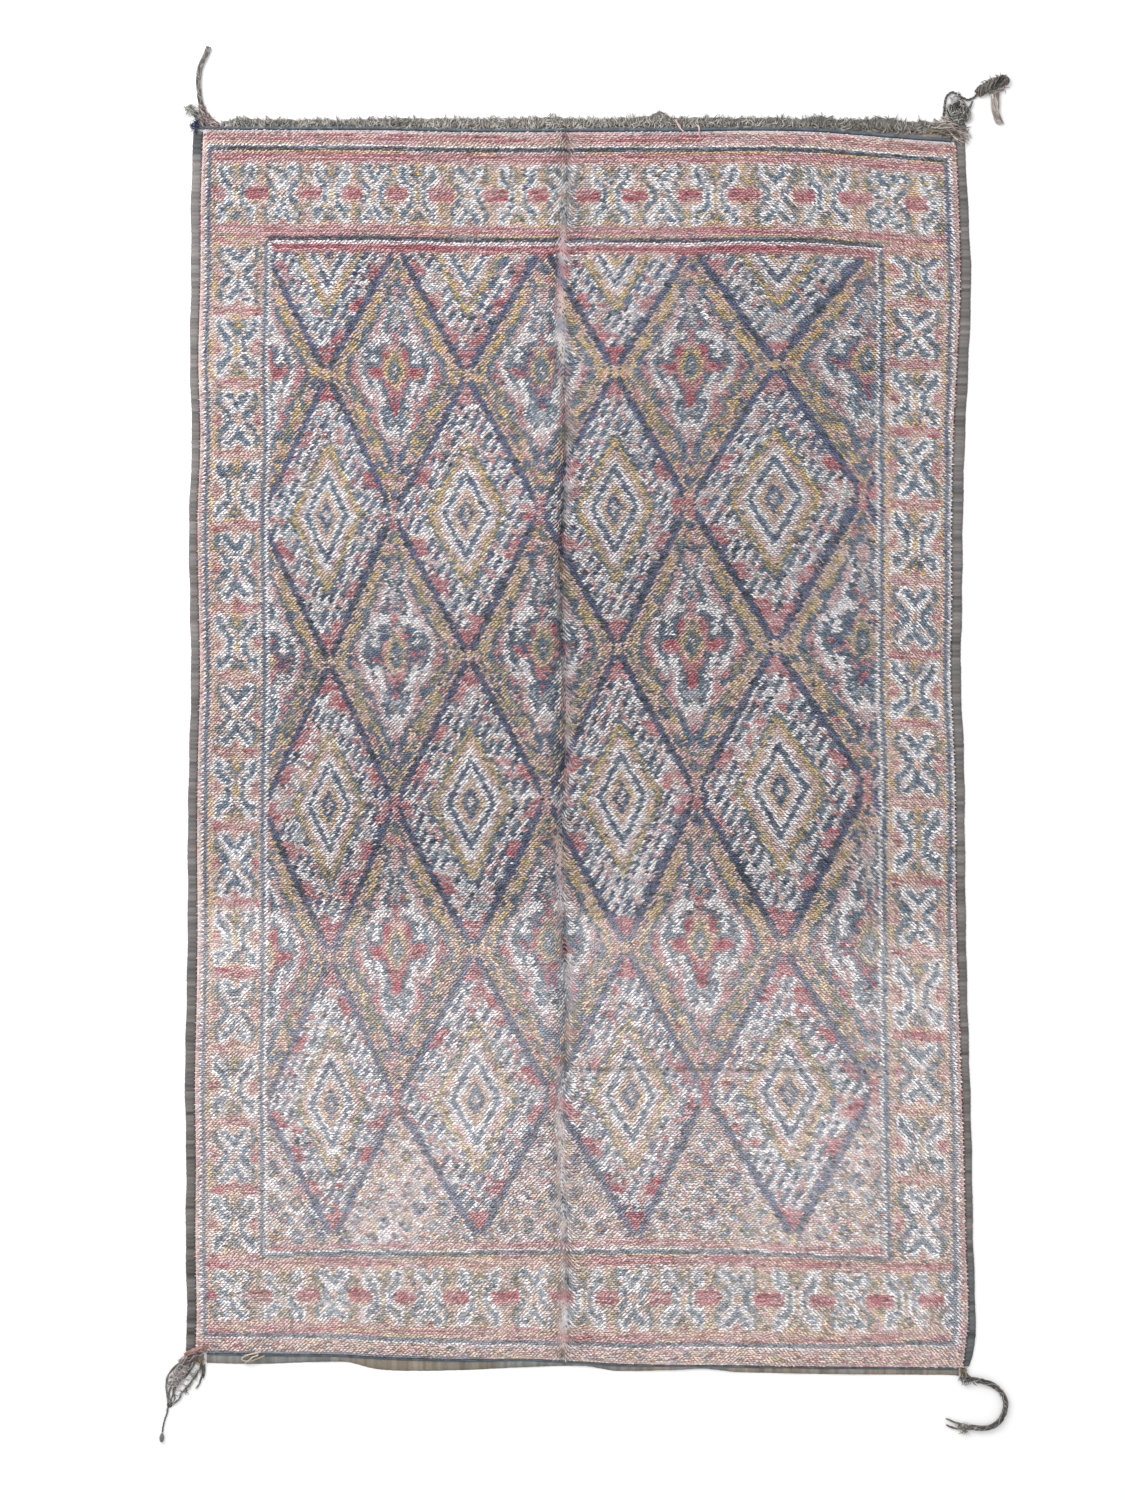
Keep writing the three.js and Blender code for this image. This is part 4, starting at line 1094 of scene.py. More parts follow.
class RUG_OT_stage(bpy.types.Operator):
    """Make the pale floor, the soft studio light and the camera straight above"""

    bl_idname = "rug.stage"
    bl_label = "Stage"

    def execute(self, context):
        stage, scene = context.scene.rug_stage, context.scene
        mesh = bpy.data.meshes.new("floor")
        corners = [(-1, -1), (1, -1), (1, 1), (-1, 1)]
        mesh.from_pydata([(x * FLOOR_REACH, y * FLOOR_REACH, 0) for x, y in corners], [], [(0, 1, 2, 3)])
        floor = bpy.data.objects.new("floor", mesh)
        scene.collection.objects.link(floor)
        paint = bpy.data.materials.new("Floor paint")
        paint.use_nodes = True
        surface = paint.node_tree.nodes["Principled BSDF"]
        surface.inputs["Base Color"].default_value = (*linear(stage.floor_colour), 1)
        surface.inputs["Roughness"].default_value = 0.9
        mesh.materials.append(paint)
        camera = bpy.data.cameras.new("camera_above")
        camera.lens = stage.lens
        camera.clip_end = 40
        holder = bpy.data.objects.new("camera_above", camera)
        distance = stage.picture_height * stage.lens / camera.sensor_width
        holder.location = (stage.camera_x, stage.camera_y, distance)
        scene.collection.objects.link(holder)
        scene.camera = holder
        lamp = bpy.data.lights.new("key_light", "AREA")
        lamp.shape = "RECTANGLE"
        lamp.size, lamp.size_y = LAMP_SIZE
        lamp.energy = stage.key_strength
        light = bpy.data.objects.new("key_light", lamp)
        light.location = LAMP_PLACE
        light.rotation_euler = (*np.radians(LAMP_TILT), 0)
        scene.collection.objects.link(light)
        world = bpy.data.worlds.new("studio")
        world.use_nodes = True
        sky = world.node_tree.nodes["Background"]
        sky.inputs["Color"].default_value = (1, 1, 1, 1)
        sky.inputs["Strength"].default_value = stage.sky_strength
        scene.world = world
        scene.view_settings.view_transform = "Standard"
        return {"FINISHED"}


def lay_strands(cord):
    """The spine of one of CORDS and its strands' paths and radii, in mm. A plait's three strands each swing
    across as the sine of their turn and up as the sine of twice that. A twisted cord's two strands turn
    evenly. A cord with flare swells over its last quarter."""
    spine = spline(cord["route"], cord["steps"])
    spine[:, 2] = cord["height"]
    side, up = frames(spine[None])
    walked = walked_length(spine)
    start = 2 * np.pi * np.arange(cord["strands"])[:, None] / cord["strands"]
    turn = 2 * np.pi * (walked / cord["pitch"])[None] + start
    if cord["strands"] == 3:
        across, lift, radius = 0.25 * np.sin(turn), 0.13 * np.sin(2 * turn), 0.235
    else:
        across, lift, radius = 0.21 * np.cos(turn), 0.21 * np.sin(turn), 0.29
    swell = cord["diameter"] * (1 + cord["flare"] * smooth((walked / walked[-1] - 0.75) / 0.25))
    paths = spine[None] + side * (across * swell)[..., None] + up * (lift * cord["diameter"])[..., None]
    return spine, paths, radius * swell


def wound(spine, count, radius, turns, salt):
    """Loose yarns wound on a cord's outside: each turns about the spine at one distance, with a slow sway."""
    side, up = frames(spine[None])
    index, along = np.arange(count)[:, None], np.linspace(0, 1, len(spine))[None]
    way = np.sign(chance(index, 1, salt) - 0.4)
    turn = 2 * np.pi * (index / count + way * turns * along * (0.6 + 0.8 * chance(index, 2, salt)))
    sway = along * (3 + 4 * chance(index, 3, salt)) + chance(index, 4, salt)
    turn = turn + 0.8 * np.sin(2 * np.pi * sway)
    return spine[None] + (side * np.cos(turn)[..., None] + up * np.sin(turn)[..., None]) * radius


class RUG_OT_cords(bpy.types.Operator):
    """Make the two plaits and the two thin cords that leave the corners"""

    bl_idname = "rug.cords"
    bl_label = "Free cords"

    def execute(self, context):
        colour = context.scene.rug_colours.dark_cord
        for cord in CORDS:
            spine, paths, radii = lay_strands(cord)
            shape = self.ply(cord, spine, paths, radii, colour)
            piece = add_piece(cord["piece"], shape, "cord")
            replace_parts(piece, cord["node"])
        return {"FINISHED"}

    def ply(self, cord, spine, paths, radii, colour):
        """Each strand is a bundle of plies in its own tone, and a plait has loose yarns wound on it too."""
        plies, salt = cord["plies"], cord["salt"]
        count = plies * cord["strands"]
        parts = [
            bundle(path, plies, len(path), radii[0] * 0.62, 2.5, 580 + salt + number)
            for number, path in enumerate(paths)
        ]
        tones = np.repeat(STRAND_TONES[:cord["strands"]], plies)[:, None] * cord["light"]
        tints = shaded(colour, count, 590 + salt, 0.35) * tones
        shapes = [yarns(np.concatenate(parts), np.tile(radii * 0.42, (count, 1)), 4, tints)]
        if cord["strands"] == 3:
            loose = wound(spine, 7, cord["diameter"] * 0.43, 3.2, 570 + salt)
            shapes.append(hairs(loose, 0.85, WOUND, 575 + salt))
        return joined(shapes)


class RUG_OT_pile(bpy.types.Operator):
    """Tie the pile: two pressed yarn ends for every knot, in strips down the rug"""

    bl_idname = "rug.pile"
    bl_label = "Pile"

    def execute(self, context):
        sizes, colours = context.scene.rug_sizes, context.scene.rug_colours
        columns = round(CLOTH_WIDTH * MM / sizes.knot_width)
        rows = round(CLOTH_LENGTH * MM / sizes.row_height)
        row, column = (np.repeat(grid.ravel(), 2) for grid in np.mgrid[0:rows, 0:columns])
        twin = np.tile([0, 1], rows * columns)
        across = (column + 0.25 + 0.5 * twin) * (CLOTH_WIDTH / columns)
        down = (row + 0.25 + 0.5 * twin) * (CLOTH_LENGTH / rows)
        light = yarn_light(colours, tie_rug(across, down, row, column, row * 2 + twin), across, down)
        edges = np.linspace(0, columns, sizes.strips + 1).round()
        for number in range(sizes.strips):
            mine = (column >= edges[number]) & (column < edges[number + 1])
            end = column[mine] * 2 + twin[mine]
            self.add_strip(f"pile_{number + 1}", sizes, across[mine], down[mine], row[mine], end, light[mine])
        return {"FINISHED"}

    def add_strip(self, name, sizes, across, down, row, end, light):
        """One strip of the pile: each end is a closed spindle of six faces, with painted shade at its root.
        """
        across = across + (chance(end, row, 200) - 0.5) * END_STRAY_ACROSS
        down = down + (chance(end, row, 201) - 0.5) * END_STRAY_DOWN
        x, y, rim = place_on_rug(across, down)
        x = np.clip(x, SIDES["left"].min() + PILE_MARGINS[0], SIDES["right"].max() - PILE_MARGINS[1])
        points = self.spindles(sizes, x, y, rim, end, row)
        sides = np.array([[0, 2, 1], [0, 3, 2], [0, 1, 3], [4, 1, 2], [4, 2, 3], [4, 3, 1]])
        count = len(x)
        faces = (sides[None] + 5 * np.arange(count)[:, None, None]).reshape(-1, 3)
        # The root's point is 5 % darker: painted shade where the end goes down among its neighbours.
        along = np.array([0.95, 1.0, 1.0, 1.0, 1.0])
        tints = light[:, None] * self.shade(x, y, end, row)[:, None, None] * along[None, :, None]
        shape = points.reshape(-1, 3), [faces], tints.reshape(-1, 3)
        add_piece(name, shape, "pile", uv=("OFBake", self.cells(count)))

    def spindles(self, sizes, x, y, rim, end, row):
        """The points of each end in mm, (ends, 5, 3): a root, three round its belly and a tip."""
        lean = self.lean(x, y, end, row)
        ahead = np.column_stack([np.cos(lean), np.sin(lean)])
        length = sizes.yarn_length / MM * (0.8 + 0.4 * chance(end, row, 204))
        half = sizes.yarn_width / MM / 2 * (0.8 + 0.4 * chance(end, row, 205))
        press = mix(PILE_RIM_SHARE, 1.0, smooth(rim / RIM_WIDTH)) * sizes.pile_height / MM
        base = lumps(x, y) - folds(x, y, rim)
        belly_height = press * (BELLY_SHARE + BELLY_VARIES * chance(end, row, 206)) + base
        tip_height = press * (TIP_SHARE + TIP_VARIES * chance(end, row, 207)) + base
        middle = np.column_stack([x, y])
        side = np.column_stack([ahead[:, 1], -ahead[:, 0]]) * half[:, None]
        belly = middle + ahead * length[:, None] * 0.18
        points = np.stack([
            np.column_stack([middle - ahead * length[:, None] * 0.5, press * ROOT_SHARE + base]),
            np.column_stack([belly + side, belly_height - half * 0.35]),
            np.column_stack([belly, belly_height + half * 0.75]),
            np.column_stack([belly - side, belly_height - half * 0.35]),
            np.column_stack([middle + ahead * length[:, None] * 0.5, tip_height]),
        ], axis=1)
        points[..., 2] = np.maximum(points[..., 2], LOWEST_PILE)
        return points

    def lean(self, x, y, end, row):
        """The way each end lies, in radians from straight across: it turns slowly over the rug, drifts in
        soft patches and strays by chance, and beside the long fold it mostly runs along it."""
        lean = mix(LEAN_LEFT, LEAN_RIGHT, smooth((x - LEAN_TURN_START) / LEAN_TURN_LENGTH))
        lean = lean + LEAN_DRIFT * (patches(end, row * 2, LEAN_PATCH, 300) - 0.5)
        lean = lean + LEAN_STRAY * (chance(end, row, 203) - 0.5)
        beside = x - long_fold(y)
        parted = FOLD_LEAN_STRAY * (chance(end, row, 208) - 0.5) - FOLD_LEAN * np.sign(beside)
        return np.radians(mix(lean, parted, bell(beside, FOLD_LEAN_WIDTH) * FOLD_LEAN_SHARE))

    def shade(self, x, y, end, row):
        """How light each end is: it varies by chance, a few have painted shadow, and folds have painted
        shade.
        """
        shade = 1 + SHADE_VARIES * (chance(end, row, 202) - 0.5)
        # A share of the ends is painted darker: painted shadow, as if they were sunk between their
        # neighbours.
        shade = shade * np.where(chance(end, row, 209) < SHADOWED_ENDS, SHADOWED_END_LIGHT, 1.0)
        # Painted shade in the long fold and the cross folds; the long fold's shade is stronger or weaker in
        # patches down it.
        beside = x - long_fold(y)
        parted = 0.55 + 0.5 * patches(np.zeros(len(y)), y, 120, 210)
        parted = parted * (0.6 + 0.8 * patches(y / 3, y, 14, 211))
        dark = sum(depth * bell(beside, width) for depth, width in LONG_FOLD_SHADOWS)
        shade = shade * (1 - dark * parted)
        depth, width = CROSS_FOLD_SHADOW
        for line in CROSS_FOLDS:
            shade = shade * (1 - depth * line["depth"] * fold_reach(line, x) * bell(y - line["y"], width))
        return shade

    def cells(self, count):
        """A small cell of the map for each end: its three lower faces below its three upper ones."""
        wide = int(np.ceil(np.sqrt(count)))
        left, low = np.arange(count) % wide, np.arange(count) // wide
        corner = [
            [(0.2, 0.05), (0.65, 0.5), (0.35, 0.5)], [(0.8, 0.05), (0.95, 0.5), (0.67, 0.5)],
            [(0.1, 0.05), (0.33, 0.5), (0.05, 0.5)], [(0.5, 0.95), (0.36, 0.52), (0.64, 0.52)],
            [(0.85, 0.95), (0.67, 0.52), (0.95, 0.52)], [(0.15, 0.95), (0.05, 0.52), (0.33, 0.52)],
        ]
        corner = np.array(corner)[None] + np.stack([left, low], axis=-1)[:, None, None]
        return corner.reshape(-1, 2) / wide


class RUG_OT_ground(bpy.types.Operator):
    """Weave the ground that the knots are tied on, a closed sheet with the rug's folds"""

    bl_idname = "rug.ground"
    bl_label = "Ground weave"

    def execute(self, context):
        sizes, colours = context.scene.rug_sizes, context.scene.rug_colours
        across, down = np.meshgrid(np.linspace(0, CLOTH_WIDTH, 61), np.linspace(0, CLOTH_LENGTH, 97))
        grid, across, down = across.shape, across.ravel(), down.ravel()
        x, y, rim = place_on_rug(across, down)
        rise = sizes.ground_height / MM * mix(0.75, 1.0, smooth(rim / RIM_WIDTH))
        top = np.maximum(rise - folds(x, y, rim) * 0.75, 1.2)
        row, column = (down / 10).astype(int), (across / 8.6).astype(int)
        light = yarn_light(colours, tie_rug(across, down, row, column, row * 2), across, down)
        # Painted shade darkens the ground along the long fold.
        depth, width = GROUND_SHADOW
        parted = 1 - depth * bell(x - long_fold(y), width)
        tint = mix(light, linear(display(*GROUND)), 0.35) * 1.10 * parted[:, None]
        points = np.vstack([np.column_stack([x, y, top]), np.column_stack([x, y, 0 * x])])
        shape = points, self.faces(*grid), np.vstack([tint, tint])
        piece = add_piece("ground_weave", shape, "ground")
        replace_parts(piece, "rug_pile")
        return {"FINISHED"}

    def faces(self, rows, columns):
        """Quads over the upper grid and under the lower one, and a wall round their edges."""
        lower = rows * columns
        first = (np.arange(rows - 1)[:, None] * columns + np.arange(columns - 1)).ravel()
        upper_faces = np.column_stack([first, first + columns, first + columns + 1, first + 1])
        edge = np.concatenate([
            np.arange(columns - 1), np.arange(rows - 1) * columns + columns - 1,
            (rows - 1) * columns + np.arange(columns - 1, 0, -1), np.arange(rows - 1, 0, -1) * columns,
        ])
        next_edge = np.roll(edge, -1)
        walls = np.column_stack([edge, next_edge, next_edge + lower, edge + lower])
        return [np.vstack([upper_faces, upper_faces[:, ::-1] + lower, walls])]


def lumpy_strip(x, y, across, half_width, height, sides, tint):
    """A closed strip laid on the floor along its middle's places x and y in mm: a flat-bottomed half round
    whose width and height change as it goes. across is the level direction across it."""
    angle = np.pi * np.arange(sides) / (sides - 1)
    out = -np.cos(angle)[None, :] * half_width[:, None]
    lift = np.maximum(np.sin(angle)[None, :] ** 0.7 * height[:, None], 0.15)
    points = np.stack([x[:, None] + across[0] * out, y[:, None] + across[1] * out, lift], axis=-1)
    ring = np.arange(sides)
    caps = np.vstack([ring[::-1], (len(x) - 1) * sides + ring])
    walls = ring_walls(len(x), sides)[:, [0, 3, 2, 1]]
    return points.reshape(-1, 3), [walls, caps], np.repeat(tint, sides, axis=0)


class RUG_OT_selvedges(bpy.types.Operator):
    """Wrap the two side edges"""

    bl_idname = "rug.selvedges"
    bl_label = "Selvedges"

    def execute(self, context):
        goat_hair = linear(context.scene.rug_colours.goat_hair)
        turn = np.arange(SELVEDGE_STEPS)
        for name, key, sign in (("selvedge_l", "left", -1), ("selvedge_r", "right", 1)):
            y = np.linspace(*SELVEDGE_ENDS[key], SELVEDGE_STEPS)
            outer = follow(SIDES, "y", key, y) + sign * 0.8 * np.sin(y / 23)
            inner = follow(SIDES, "y", key, y) - sign * follow(SIDES, "y", f"{key}_width", y)
            wrap = 0.5 * np.sin(turn * 1.9) + 0.9 * (chance(turn // 3, sign + 2, 400) - 0.5)
            half, height = np.abs(outer - inner) / 2 + wrap * 0.8, SELVEDGE_HEIGHT + wrap * 0.5
            tone, blue = self.wear(sign, y)
            # Each wrap's tone varies by chance, and painted shade darkens the dips between the wraps, where
            # the strip is lowest.
            tone = tone + 0.44 * (chance(turn // 3, sign, 401) - 0.5) - 0.16 * (np.sin(turn * 1.9) < -0.4)
            blue = np.clip(blue + 0.5 * (patches(y, 0 * y, 16, 402) - 0.35), 0, 1)
            tint = mix(goat_hair, linear(display(*SELVEDGE_BLUE)), blue[:, None]) * tone[:, None]
            shape = lumpy_strip((outer + inner) / 2, y, (1, 0), half, height, 7, tint)
            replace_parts(add_piece(name, shape, "selvedge"), f"selvedge_{key}")
        return {"FINISHED"}

    def wear(self, sign, y):
        """How light and how blue a selvedge is down its length. The left one darkens downwards and is blue at
        its top, and the right one is blue at its bottom."""
        down = (CLOTH_TOP - y) / (CLOTH_TOP - CLOTH_BOTTOM)
        if sign < 0:
            return 0.94 - 0.34 * down - 0.30 * smooth((0.03 - down) / 0.02), 0.8 * smooth((y - 1440) / 40)
        return 0.77 - 0.02 * down, 0.8 * smooth((-1150 - y) / 120)


class RUG_OT_bands(bpy.types.Operator):
    """Weave the two flat end bands, and lay the dark yarn along each end of the pile"""

    bl_idname = "rug.bands"
    bl_label = "End bands"

    def execute(self, context):
        colours = context.scene.rug_colours
        for name, node, rows, span, sign, wave, light in (
            ("band_top", "end_band_top", TOP_END, TOP_BAND_SPAN, 1, 1.0, 0.80),
            ("band_bottom", "end_band_bottom", BOTTOM_END, BOTTOM_BAND_SPAN, -1, 3.0, 0.74),
        ):
            x, turn = np.linspace(*span, BAND_STEPS), np.arange(BAND_STEPS)
            inner = follow(rows, "x", "pile", x) + sign * GAP
            outer = follow(rows, "x", "band", x)
            half = np.maximum(np.abs(outer - inner) / 2 + 0.7 * (chance(turn // 2, 5, 410) - 0.5), 1.5)
            height = BAND_HEIGHT + wave * (0.5 + 0.5 * np.sin(x / 37 + 2 * np.sin(x / 90))) * 0.6
            shade = light * (1 + 0.24 * (chance(turn // 2, 6, 411) - 0.5))
            shade = (shade * (0.74 + 0.52 * patches(x, 0 * x, 9, 414)))[:, None]
            browner = 0.7 * smooth(patches(x, 0 * x, 70, 415) * 2 - 0.5)[:, None]
            weft = linear(colours.kilim) * np.array([0.92, 0.97, 1.0])
            tint = mix(weft, linear(display(*BAND_BROWN)), browner) * shade
            shape = lumpy_strip(x, (inner + outer) / 2, (0, -1), half, height, 5, tint)
            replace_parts(add_piece(name, shape, "band"), node)
        for name, rows, start, end, aside, radius, light in (
            ("edge_line_top", TOP_END, -911, 931, 6, 4.2, 0.72),
            ("edge_line_bottom", BOTTOM_END, -885, 945, -3.5, 2.6, 0.62),
        ):
            x, turn = np.linspace(start, end, EDGE_LINE_STEPS), np.arange(EDGE_LINE_STEPS) // 3
            y = follow(rows, "x", "pile", x) + aside + 0.8 * (chance(turn, 1, 412) - 0.5)
            tint = linear(colours.slate) * (light + 0.5 * chance(turn, 2, 413))[:, None]
            path = np.column_stack([x, y, 0 * x + EDGE_LINE_HEIGHT])
            add_piece(name, yarns(path[None], radius, 5, tint[None]), "band")
        return {"FINISHED"}


class RUG_OT_fringe(bpy.types.Operator):
    """Comb out the top fringe: short, brushed yarn ends in small locks, on a low mat"""

    bl_idname = "rug.fringe"
    bl_label = "Top fringe"

    def execute(self, context):
        fringe = linear(context.scene.rug_colours.fringe)
        wisps = self.wisps(context.scene.rug_sizes.fringe_wisps, fringe)
        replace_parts(add_piece("fringe", wisps, "fringe"), "fringe_top")
        add_piece("fringe_mat", self.mat(fringe), "fringe")
        return {"FINISHED"}

    def wisps(self, count, fringe):
        """Each wisp starts between the band and the tips, heads the way its lock leans and bends as half a
        sine."""
        index, share = np.arange(count), np.linspace(0, 1, 4)[None]
        x = mix(*FRINGE_SPAN, (index + chance(index, 1, 420)) / count)
        edge = follow(TOP_END, "x", "band", x)
        tip = np.interp(x, FRINGE_TIPS["x"], FRINGE_TIPS["tip"])
        start = edge - 8 + (tip - edge) * 0.75 * chance(index, 2, 421) ** 1.2
        lock = patches(x, np.zeros(count), 17, 422) - 0.5
        turn = np.radians(90 + 90 * lock + 110 * (chance(index, 3, 423) - 0.5))[:, None]
        ahead = (8 + 11 * chance(index, 8, 428))[:, None] * share
        swing = ((chance(index, 4, 424) - 0.5) * 8)[:, None] * np.sin(np.pi * share)
        path_x = x[:, None] + np.cos(turn) * ahead - np.sin(turn) * swing
        path_y = start[:, None] + np.sin(turn) * ahead + np.cos(turn) * swing
        path_x = np.clip(path_x, FRINGE_SPAN[0] - 6, FRINGE_SPAN[1] + 6)
        lift = 5.5 + 3.5 * chance(index, 5, 425)
        path_z = 1.0 + lift[:, None] * np.array([0.75, 1.0, 0.85, 0.35])[None]
        radii = (1.0 + 0.9 * chance(index, 6, 426))[:, None] * np.array([1, 1, 0.8, 0.4])[None]
        shade = 0.34 + 0.20 * bell(x + 60, 330) + 0.76 * chance(index, 7, 427) ** 1.6
        shade = shade * (0.76 + 0.5 * patches(x, start, 26, 429))
        paths = np.stack([path_x, path_y, path_z], axis=-1)
        return yarns(paths, radii, 3, fringe[None] * shade[:, None])

    def mat(self, fringe):
        """The matted roots: a low lumpy strip from the band to over half way to the tips."""
        x = np.linspace(*FRINGE_SPAN, FRINGE_MAT_STEPS)
        low = follow(TOP_END, "x", "band", x) + 0.4
        high = mix(low, np.interp(x, FRINGE_TIPS["x"], FRINGE_TIPS["tip"]), 0.62)
        high = high + 5 * (patches(x, 0 * x, 9, 430) - 0.5)
        half = np.maximum((high - low) / 2, 2.0)
        height = 4.0 + 2.5 * patches(x, 0 * x, 6, 431)
        tint = fringe * (0.30 + 0.22 * patches(x, 0 * x, 5, 432))[:, None]
        return lumpy_strip(x, (low + high) / 2, (0, -1), half, height, 7, tint)


def mound(x, y, across, along, turn, height, colour, salt, rings=14, around=26):
    """A matted lump: a dome over an oval, lumpy by patches, closed by a flat base. Lengths in mm."""
    out = np.sin(np.linspace(0, np.pi / 2, rings))[:, None]
    angle = (2 * np.pi * np.arange(around) / around)[None]
    level_x, level_y = out * np.cos(angle) * across, out * np.sin(angle) * along
    lump = 1 + 0.22 * (patches(level_x + salt * 31, level_y, 5, salt) - 0.5) * 2
    level_x, level_y = level_x * (0.85 + 0.15 * lump), level_y * (0.85 + 0.15 * lump)
    z = height * np.sqrt(np.maximum(1 - out**2, 0)) ** 0.8 * lump + 0.3
    px = x + level_x * np.cos(turn) - level_y * np.sin(turn)
    py = y + level_x * np.sin(turn) + level_y * np.cos(turn)
    points = np.stack([px, py, np.minimum(z, height * 1.08)], axis=-1).reshape(-1, 3)
    base, last = rings * around, (rings - 1) * around
    points = np.vstack([points, [[x, y, 0.1]]])
    ring = np.arange(around)
    under = np.column_stack([np.full(around, base), last + (ring + 1) % around, last + ring])
    shade = 0.8 + 0.4 * patches(points[:, 0], points[:, 1], 3, salt + 1)
    return points, [ring_walls(rings, around), under], linear(display(*colour))[None] * shade[:, None]


def fuzz(route, count, reach, spread, height, bend, salt, steps=6):
    """Matted hairs along a route: each starts near it, heads its own way and curls evenly. Lengths in mm."""
    spine = spline(route, 60)
    index = np.arange(count)
    start = spine[(chance(index, 1, salt) * 59.9).astype(int)]
    out, angle = np.sqrt(chance(index, 2, salt)), 2 * np.pi * chance(index, 3, salt)
    along = np.linspace(0, 1, steps)[None]
    curl = 2 * bend * (chance(index, 5, salt)[:, None] - 0.5) * along
    heading = 2 * np.pi * chance(index, 4, salt)[:, None] + curl
    step = (reach * (0.6 + 0.8 * chance(index, 6, salt)) / (steps - 1))[:, None]
    top = height * np.sqrt(np.maximum(1.05 - out**2, 0.12)) * (0.75 + 0.35 * chance(index, 7, salt))
    from_x, from_y = start[:, 0] + spread * out * np.cos(angle), start[:, 1] + spread * out * np.sin(angle)
    return np.stack([
        from_x[:, None] + (np.cumsum(np.cos(heading), axis=1) - 1) * step,
        from_y[:, None] + (np.cumsum(np.sin(heading), axis=1) - 1) * step,
        np.maximum(top[:, None] + np.sin(np.pi * along) * 1.5, 1.0),
    ], axis=-1)


def hairs(paths, radius, colours, salt):
    """Thin yarns along paths, each in one of the colours by chance and drawn finer to its tip. None goes
    below the floor."""
    paths = np.concatenate([paths[..., :2], np.maximum(paths[..., 2:], radius + 0.2)], axis=-1)
    strands, steps = paths.shape[:2]
    picked = (chance(np.arange(strands), 3, salt) * len(colours)).astype(int)
    tint = linear(np.array(colours) / 255)[np.minimum(picked, len(colours) - 1)]
    light = 0.7 + 0.6 * chance(np.arange(strands), 4, salt)
    radii = radius * (1 - 0.55 * np.linspace(0, 1, steps) ** 2)[None] * np.ones((strands, 1))
    return yarns(paths, radii, 3, tint * light[:, None])


# Locks of the top right clump, in mm and radians: middle, half sizes, where each starts and how far it sweeps
LOCKS = [
    (944, 1574, 22, 24, 2.6, 1.0), (952, 1576, 15, 17, 0.4, -0.8), (938, 1566, 15, 13, 3.6, 0.8),
    (962, 1562, 13, 20, 5.2, 0.9), (948, 1556, 24, 11, 3.0, -0.7), (932, 1544, 14, 9, 0.5, 0.9),
    (958, 1540, 16, 9, 1.2, 0.8), (945, 1528, 20, 8, 3.4, -0.6),
]
LOCK_RING = 2 * np.pi * np.linspace(0, 1, 16)


def lock_route(x, y, wide, high, start, sweep):
    """A curled lock: most of a turn round an oval, rising and falling in a slow sine. Lengths in mm."""
    turn = start + sweep * LOCK_RING * 0.8
    height = 7 + 3 * np.sin(LOCK_RING * 1.5)
    return np.column_stack([x + wide * np.cos(turn), y + high * np.sin(turn), height])


# Routes at the corners in mm
TOP_LEFT_LEAD = [(-866, 1533), (-880, 1541), (-893, 1555), (-902, 1568), (-906, 1580)]
TOP_LEFT_BACK = [(-908, 1532), (-906, 1548), (-905, 1564), (-906, 1580)]
TOP_LEFT_STUB = [(-910, 1548), (-917, 1557), (-928, 1570), (-935, 1584)]
TASSEL_KNOT = [(994, 1612, 5), (1008, 1624, 8), (1026, 1635, 11), (1046, 1643, 12), (1066, 1647, 10)]
TASSEL_ENDS = [
    [(1040 + 3.6 * end, 1622), (1037 + 3.8 * end, 1588), (1042 + 3.4 * end, 1556),
     (1049 + 3.9 * end, 1538 + abs(end))]
    for end in range(-2, 3)
]
NET_THREADS = [
    [(-925, -1484), (-950, -1492), (-974, -1507), (-989, -1528), (-991, -1560), (-988, -1588), (-988, -1601)],
    [(-905, -1494), (-914, -1518), (-938, -1550), (-954, -1568), (-960, -1584), (-977, -1597)],
    [(-926, -1486), (-941, -1510), (-952, -1532), (-976, -1560), (-970, -1582), (-982, -1598)],
    [(-940, -1490), (-958, -1502), (-958, -1524), (-974, -1536), (-987, -1548)],
    [(-906, -1500), (-903, -1520), (-910, -1542), (-919, -1559)],
    [(-899, -1500), (-898, -1514), (-902, -1532)],
    [(-918, -1488), (-932, -1512), (-946, -1530), (-966, -1538), (-983, -1560), (-986, -1586)],
    [(-946, -1492), (-966, -1512), (-972, -1530), (-966, -1548), (-976, -1572), (-984, -1594)],
    [(-932, -1490), (-952, -1504), (-968, -1520), (-984, -1532)],
]
NET_NECK = [(-980, -1586), (-985, -1598), (-989, -1607), (-991, -1616)]

